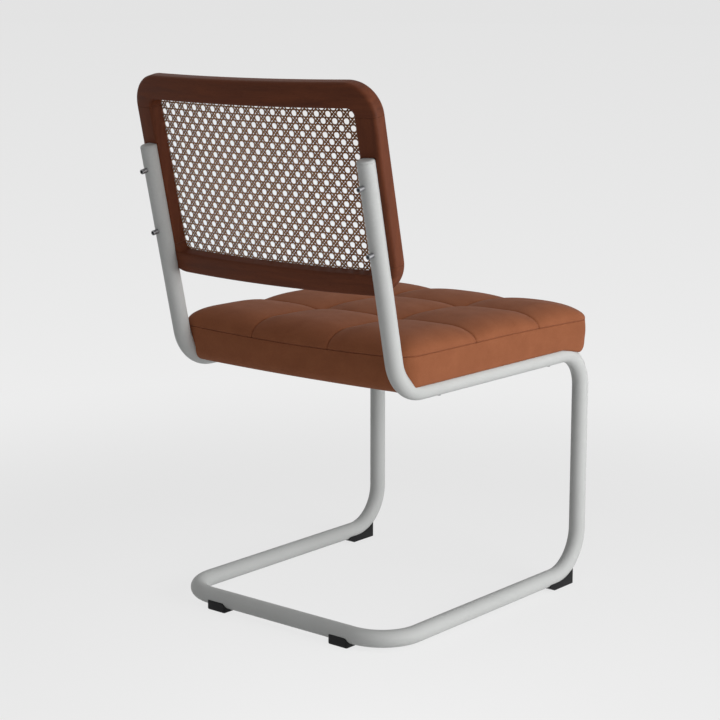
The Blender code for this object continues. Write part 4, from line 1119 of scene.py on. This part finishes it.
def gridEdge(n, m):
    # the grid's outer points, once round
    i = np.concatenate([np.zeros(m - 1, int), np.arange(n - 1), np.full(m - 1, n - 1), np.arange(n - 1, 0, -1)])
    j = np.concatenate([np.arange(m - 1, 0, -1), np.zeros(n - 1, int), np.arange(m - 1), np.full(n - 1, m - 1)])
    return i * m + j


def wallRows(base, out, boxing):
    # wall from the boxing seam down, a round turn at its foot, and the edge turned in under the board
    sideShare = out[:, 0] ** 2
    rearward = np.clip(out[:, 1], 0, 1)
    forward = np.clip(-out[:, 1], 0, 1)
    endTuck = np.where(out[:, 1] > 0, seat["rearTuck"], seat["frontTuck"])
    tuck = seat["sideTuck"] * sideShare + (1 - sideShare) * endTuck
    tuck = tuck + seat["cornerTuck"] * 4 * sideShare * (1 - sideShare) * (forward > 0)
    lip = np.clip((base[:, 1] - seat["lipStart"]) / seat["lipFade"], 0, 1)
    bottom = seat["bottom"] + (seat["sideBottom"] - seat["bottom"]) * sideShare ** 3 * lip
    leaning = rearward * (seat["rearDraw"] - seat["rearBow"] * (1 - (base[:, 0] / seat["halfX"]) ** 2))
    low = bottom + tuck
    rows = []

    def row(offset, height):
        rows.append(together(*(base + out * offset[:, None]).T, lines["railHeight"] + height))
    for t in (0.025, 0.06, 0.12, 0.21, 0.33, 0.46, 0.60, 0.74, 0.87, 1.0):
        row(seat["wallSwell"] * math.sin(math.pi * min(1, t * 1.1)) - leaning * t, boxing + (low - boxing) * t)
    for t in np.linspace(0, np.pi / 2, 7)[1:]:
        row(-leaning - tuck * (1 - math.cos(t)), low - tuck * math.sin(t))
    under = seat["leastUnder"] + (1 - sideShare) ** 2 * seat["turnedUnder"]
    for t in (0.35, 1.0):
        row(-leaning - tuck - under * t, bottom)
    return rows


def skinFaces(grid, edge, rows):
    # top grid, then each row of the side joined to the one above
    n, m = grid.shape[:2]
    count = len(edge)
    faces = [gridQuads(n, m)]
    above = edge
    for number in range(len(rows)):
        here = n * m + number * count + np.arange(count)
        faces.append(np.stack([above, here, np.roll(here, -1), np.roll(above, -1)], axis=1))
        above = here
    return np.concatenate(faces), above


def evened(field, passes, wrap=False):
    # repeated three-point means both ways over a grid of vectors
    for _ in range(passes):
        tall = np.pad(field, ((1, 1), (0, 0), (0, 0)), mode="edge")
        field = (tall[:-2] + 2 * tall[1:-1] + tall[2:]) / 4
        wide = np.pad(field, ((0, 0), (1, 1), (0, 0)), mode="wrap" if wrap else "edge")
        field = (wide[:, :-2] + 2 * wide[:, 1:-1] + wide[:, 2:]) / 4
    return field


def blowOut(points, faces, cap, pins):
    # cloth under pressure; the seams, the boxing seam and the underside are held
    mesh = bpy.data.meshes.new("blowing")
    mesh.from_pydata(points.tolist(), [], faces.tolist() + [cap.tolist()])
    cloth = newObject("blowing", mesh)
    group = cloth.vertex_groups.new(name="held")
    for weight in np.unique(np.round(pins, 1)):
        if weight > 0:
            group.add(np.nonzero(np.round(pins, 1) == weight)[0].tolist(), float(weight), "REPLACE")
    modifier = addModifier(cloth, "CLOTH")
    assign(modifier.settings, use_pressure=True, uniform_pressure_force=seat["pressure"], vertex_group_mass="held",
           quality=4, tension_stiffness=seat["stiffness"], compression_stiffness=seat["stiffness"],
           bending_stiffness=seat["bending"])
    modifier.settings.effector_weights.gravity = 0
    modifier.collision_settings.use_collision = False
    assign(modifier.point_cache, frame_start=1, frame_end=seat["frames"])
    scene = bpy.context.scene
    for number in range(1, seat["frames"] + 1):
        scene.frame_set(number)
    graph = bpy.context.evaluated_depsgraph_get()
    shaped = cloth.evaluated_get(graph).to_mesh()
    result = np.empty(len(points) * 3)
    shaped.vertices.foreach_get("co", result)
    cloth.evaluated_get(graph).to_mesh_clear()
    dropObject(cloth)
    scene.frame_set(1)
    moved = result.reshape(-1, 3) - points
    length = np.maximum(np.linalg.norm(moved, axis=1), 1e-9)
    limit = seat["swellCap"]
    return moved * (limit * np.tanh(length / limit) / length)[:, None]


def makeSeatCover():
    # the top's grid, rows over its rim to the boxing seam, and the wall's rows, as one skin
    x, y = np.meshgrid(spacedLines(seat["halfX"]), spacedLines(seatHalfY), indexing="ij")
    grid, normal, _, _, depth, near = seatTop(x, y)
    edge = gridEdge(*x.shape)
    edgeX = x.reshape(-1)[edge]
    edgeY = y.reshape(-1)[edge]
    # rows from the rim of the grid to the boxing seam, then the wall
    rows = []
    rowNormals = []
    for share in (0.6, 0.36, 0.18, 0.0):
        away = seat["rim"] * share ** 2
        spots, normals, around, seamHeight, _, rimNear = seatTop(
            edgeX * (seat["halfX"] - away) / (seat["halfX"] - seat["rim"]),
            edgeY * (seatHalfY - away) / (seatHalfY - seat["rim"]))
        rows.append(spots)
        rowNormals.append(normals)
    base = rows[-1][:, :2]
    wall = wallRows(base, around, seamHeight)
    faces, last = skinFaces(grid, edge, rows + wall)
    points = np.concatenate([grid.reshape(-1, 3)] + rows + wall)
    flat = grid.shape[0] * grid.shape[1]
    ring = len(edge)
    pins = np.ones(len(points))
    beside = seat["heldBeside"]
    pins[:flat] = np.where((near < beside) | (depth < 1.1 * seat["rim"]), 1.0,
                           np.where(near < 2 * beside, 0.9, 0.0)).reshape(-1)
    free = seat["freeRows"]
    pins[flat + free[0] * ring:flat + free[1] * ring] = 0.0
    moved = blowOut(points, faces, last[::-1], pins)
    fromSeam, fromRim = seat["swellFade"]
    hold = (1 - np.exp(-(near / fromSeam) ** 2)) * np.clip(depth / fromRim, 0, 1)
    top = evened(moved[:flat].reshape(grid.shape), 6) * hold[..., None]
    side = evened(moved[flat:].reshape(-1, ring, 3), 8, wrap=True)
    side *= np.sin(np.linspace(0, np.pi, len(side)))[:, None, None] * seat["sideSwell"]
    side[:seat["swellRows"][0]] = 0
    side[seat["swellRows"][1]:] = 0
    points = points + np.concatenate([top.reshape(-1, 3), side.reshape(-1, 3)])
    print("seat cover blown out, top at", round(float(points[:, 2].max()), 4))
    # the seams pull in narrow grooves, and the cloth beside the boxing seam puckers a little
    inward = np.concatenate([normal.reshape(-1, 3)] + rowNormals)
    seamNear = np.concatenate([near.reshape(-1)] + [rimNear] * len(rows))
    points[:len(inward)] -= inward * (seat["seamGroove"] * np.exp(-(seamNear / seat["seamWidth"]) ** 2))[:, None]
    outward = together(*around.T, 0)
    seamRow = slice(flat + 3 * ring, flat + 4 * ring)
    points[seamRow] -= outward * seat["boxingGroove"]
    path = np.cumsum(np.linalg.norm(base - np.roll(base, 1, axis=0), axis=1))
    drift, often = seat["puckerDrift"]
    change, span = seat["puckerChange"]
    ripple = np.sin(path * 2 * np.pi / seat["puckerPitch"] + drift * np.sin(path * often))
    ripple *= 1 - change + change * np.sin(path * 2 * np.pi / span)
    for number, share in enumerate((0.5, 0.8, 1.0, 0, 1.0, 1.0, 0.8, 0.5)):
        spot = slice(flat + number * ring, flat + (number + 1) * ring)
        points[spot] += outward * (seat["pucker"] * share * ripple)[:, None]
    cover = newPiece("seatCover", points, faces, napCloth, "suede", ["seat_cover"], sharp=50, closed=False)
    if insideOut(points, faces.tolist() + [last[::-1].tolist()]):
        cover.data.flip_normals()
    addModifier(cover, "SOLIDIFY", thickness=seat["clothThickness"], offset=-1)
    cutter = makeTubeCutter(40, math.radians(7))
    carve(cover, [cutter], sharp=45, folded=True)
    dropObject(cutter)


foam = {
    "inset": 0.0050,           # below the cover's top
    "steps": (41, 45),
    "heights": (0.043, 0.035, 0.0256),   # of its side, above the rails' centre line
    "sideGap": 0.0004,
    "lean": 0.2,               # how fast its side draws in on the way down
    "leanFrom": 0.045,
}


def makeFoamPad():
    # the cover's top a little lower, with a side that leans in
    across, along = foam["steps"]
    x, y = np.meshgrid(np.linspace(-1, 1, across) * seat["halfX"], np.linspace(-1, 1, along) * seatHalfY,
                       indexing="ij")
    grid, _, out, _, _, _ = seatTop(x, y, inset=foam["inset"])
    edge = gridEdge(*x.shape)
    base = grid.reshape(-1, 3)[edge, :2]
    around = out.reshape(-1, 2)[edge]
    rows = []
    for height in foam["heights"]:
        place = base - around * (foam["sideGap"] + foam["lean"] * (foam["leanFrom"] - height))
        rows.append(together(*place.T, lines["railHeight"] + height))
    faces, last = skinFaces(grid, edge, rows)
    points = np.concatenate([grid.reshape(-1, 3)] + rows)
    pad = newPiece("foamPad", points, faces.tolist() + [last.tolist()[::-1]], foamMaterial, "foam", ["seat_foam"])


underside = {
    "halfX": 0.1862,
    "front": -0.2635,
    "rear": 0.1630,
    "height": 0.3671,
    "lap": 0.0017,            # how much lower the hem lies over the turned-in cover
    "hem": (0.014, 0.0025),   # width of the lap at each end, and how softly it ends
    "pull": (0.00025, 0.018),   # at the staples, and how far it reaches in
    "sag": (0.0007, 0.06),
    "lift": 0.0003,
    "thickness": 0.0004,
    "staplePitch": 0.034,
    "stapleMargins": (0.012, 0.020),
    "stapleLeg": 0.0022,
    "stapleBend": (0.0004, 0.0003),
    "stapleInset": 0.005,
    "stapleLength": 0.010,
    "wireThick": 0.0005,
    "wireHalf": 0.0006,
    "stapleLift": 0.0011,      # from the cloth to the legs' ends
}


def makeDustCover():
    # a thin sheet over the board: hems lapped onto the cover, pulled in at each staple, sagging a little between
    length = underside["rear"] - underside["front"]
    across, along = np.meshgrid(np.linspace(-1, 1, 61), np.linspace(0, 1, 67), indexing="ij")
    x = across * underside["halfX"]
    y = underside["front"] + length * along
    fromEnd = np.minimum(y - underside["front"], underside["rear"] - y)
    fromSide = underside["halfX"] - np.abs(x)
    hem, soft = underside["hem"]
    pull, pullReach = underside["pull"]
    sag, sagReach = underside["sag"]
    lap = 1 / (1 + np.exp((fromEnd - hem) / soft))
    edgeNear = np.exp(-np.minimum(fromEnd, fromSide) / pullReach)
    pulls = pull * edgeNear * np.cos(np.where(fromEnd < fromSide, x, y) * 2 * np.pi / underside["staplePitch"])
    sagging = sag * np.clip(fromSide / sagReach, 0, 1) * np.clip(fromEnd / sagReach, 0, 1)
    z = underside["height"] - underside["lap"] * lap - sagging + pulls - underside["lift"]
    sheet = newPiece("dustCover", together(x, y, z), gridQuads(*x.shape), dustCloth, "dust_cloth",
                     ["seat_dust_cover"], closed=False, sharp=0)
    addModifier(sheet, "SOLIDIFY", thickness=underside["thickness"], offset=0)
    bake(sheet, sharp=40)


def makeStaples():
    # one bent wire, repeated along the four hems
    half = underside["stapleLength"] / 2
    leg = underside["stapleLeg"]
    bend, rise = underside["stapleBend"]
    path = np.array([(-half, leg), (-half, rise), (-half + bend, 0), (half - bend, 0), (half, rise), (half, leg)])
    inward = np.array([(1, 0), (1, 0), (0.7, 0.7), (-0.7, 0.7), (-1, 0), (-1, 0)]) * underside["wireThick"]
    ring = []
    for side, level in ((-1, 0), (1, 0), (1, 1), (-1, 1)):
        spot = path + inward * level
        ring.append(together(spot[:, 0], side * underside["wireHalf"], spot[:, 1]))
    template = np.stack(ring, axis=1).reshape(-1, 3)
    faces = np.array(gridQuads(6, 4, closeColumns=True).tolist() + [[3, 2, 1, 0], [20, 21, 22, 23]])
    inset = underside["stapleInset"]
    front = underside["front"] + inset
    rear = underside["rear"] - inset
    reach = underside["halfX"] - inset
    sideMargin, endMargin = underside["stapleMargins"]
    across = np.arange(-reach + sideMargin, reach - sideMargin + 0.001, underside["staplePitch"])
    along = np.arange(front + endMargin, rear - endMargin + 0.001, underside["staplePitch"])
    hems = [together(across, y, 0) for y in (front, rear)] + [together(x, along, 1) for x in (reach, -reach)]
    spots = np.concatenate(hems)
    turned = template[:, [1, 0, 2]] * np.array([-1, 1, 1])
    bodies = np.where(spots[:, 2][:, None, None] > 0.5, turned[None], template[None])
    level = underside["height"] - underside["stapleLift"] - np.where(spots[:, 2] > 0.5, 0, underside["lap"])
    points = bodies + together(spots[:, 0], spots[:, 1], level)[:, None]
    many = faces[None] + (np.arange(len(spots)) * len(template))[:, None, None]
    newPiece("staples", points, many.reshape(-1, 4), stapleSteel, "dark_steel", sharp=40)


makeSeatCover()
makeFoamPad()
makeDustCover()
makeStaples()
print("seat done")

# glides under the tube
glides = {
    "frontWidth": 0.022,
    "frontSetback": 0.0245,
    "frontLength": 0.0615,
    "frontFlat": 0.0495,
    "tailRise": 0.0055,
    "tailEdge": (0.002, 0.0002, 0.0015),   # its bevel: along, below and above the rise
    "rearLength": 0.036,
    "rearWidth": 0.025,
    "rearOffset": 0.119,
    "rearRound": 0.0025,
    "rearCorner": 0.0035,
    "edge": 0.0009,
    "belowCentre": 0.0006,     # top of a front glide, below the tube's centre line
}


def finishGlide(glide, cutter):
    addModifier(glide, "BEVEL", width=glides["edge"], segments=3, limit_method="ANGLE", angle_limit=math.radians(35))
    carve(glide, [cutter], sharp=40)


def makeFrontGlide(side, sign, cutter):
    # an outline seen from the side, drawn out across: flat foot, rising tail, hollow top under the bend
    radius = lines["bends"][2]
    front = glides["frontSetback"]
    setback = np.linspace(radius, front, 14)
    drop = np.sqrt(radius ** 2 - (radius - setback) ** 2)
    hollow = together(lines["legY"] + setback, lines["runnerHeight"] + radius - drop - glides["belowCentre"])
    tail = lines["legY"] + front + glides["frontLength"]
    bevel, below, above = glides["tailEdge"]
    outline = np.concatenate([
        [(lines["legY"] + front, 0.0), (lines["legY"] + front + glides["frontFlat"], 0.0),
         (tail - bevel, glides["tailRise"] - below), (tail, glides["tailRise"] + above),
         (tail, lines["runnerHeight"] - glides["belowCentre"])], hollow])
    half = glides["frontWidth"] / 2
    rows = np.stack([together(sign * lines["halfSpacing"] + offset, *outline.T) for offset in (-half, half)])
    glide = newPiece("frontGlide_" + side, rows, cappedFaces(2, len(outline)), glidePlastic, "black_plastic",
                     ["front_glide_" + side])
    finishGlide(glide, cutter)


def makeRearGlide(side, sign, cutter):
    # a rounded block up to the bar's centre line, hollowed by the bar
    halfX = glides["rearLength"] / 2
    halfY = glides["rearWidth"] / 2
    corner = glides["rearCorner"]
    turn = np.linspace(0, np.pi / 2, 7)
    middle = np.array([sign * glides["rearOffset"], lines["floorBarY"]])
    rows = []
    for inset, height in [(glides["rearRound"] * (1 - math.sin(t)), glides["rearRound"] * (1 - math.cos(t)))
                          for t in np.linspace(0, math.pi / 2, 6)] + [(0.0, lines["runnerHeight"])]:
        around = np.concatenate([together(cx * (halfX - corner) + (corner - inset) * np.cos(turn + start),
                                          cy * (halfY - corner) + (corner - inset) * np.sin(turn + start))
                                 for cx, cy, start in ((1, 1, 0), (-1, 1, np.pi / 2), (-1, -1, np.pi),
                                                       (1, -1, 1.5 * np.pi))])
        rows.append(together(*(middle + around).T, height))
    rows = np.stack(rows)
    glide = newPiece("rearGlide_" + side, rows, cappedFaces(len(rows), rows.shape[1]), glidePlastic, "black_plastic",
                     ["rear_glide_" + side])
    finishGlide(glide, cutter)


glideCutter = makeTubeCutter(tube["sides"], tube["stepAngle"])
for side, sign in sides:
    makeFrontGlide(side, sign, glideCutter)
    makeRearGlide(side, sign, glideCutter)
dropObject(glideCutter)
print("glides done")

# solids that stay as they are get their own finishes
finishes = {
    "back_tenon_top_left": tenonWood, "back_tenon_top_right": tenonWood,
    "back_tenon_bottom_left": tenonWood, "back_tenon_bottom_right": tenonWood,
    "back_insert_lower_left": insertBrass, "back_insert_lower_right": insertBrass,
    "back_insert_upper_left": insertBrass, "back_insert_upper_right": insertBrass,
    "seat_board": boardPly,
}
for node, material in finishes.items():
    bpy.data.objects[node].material_slots[0].material = material
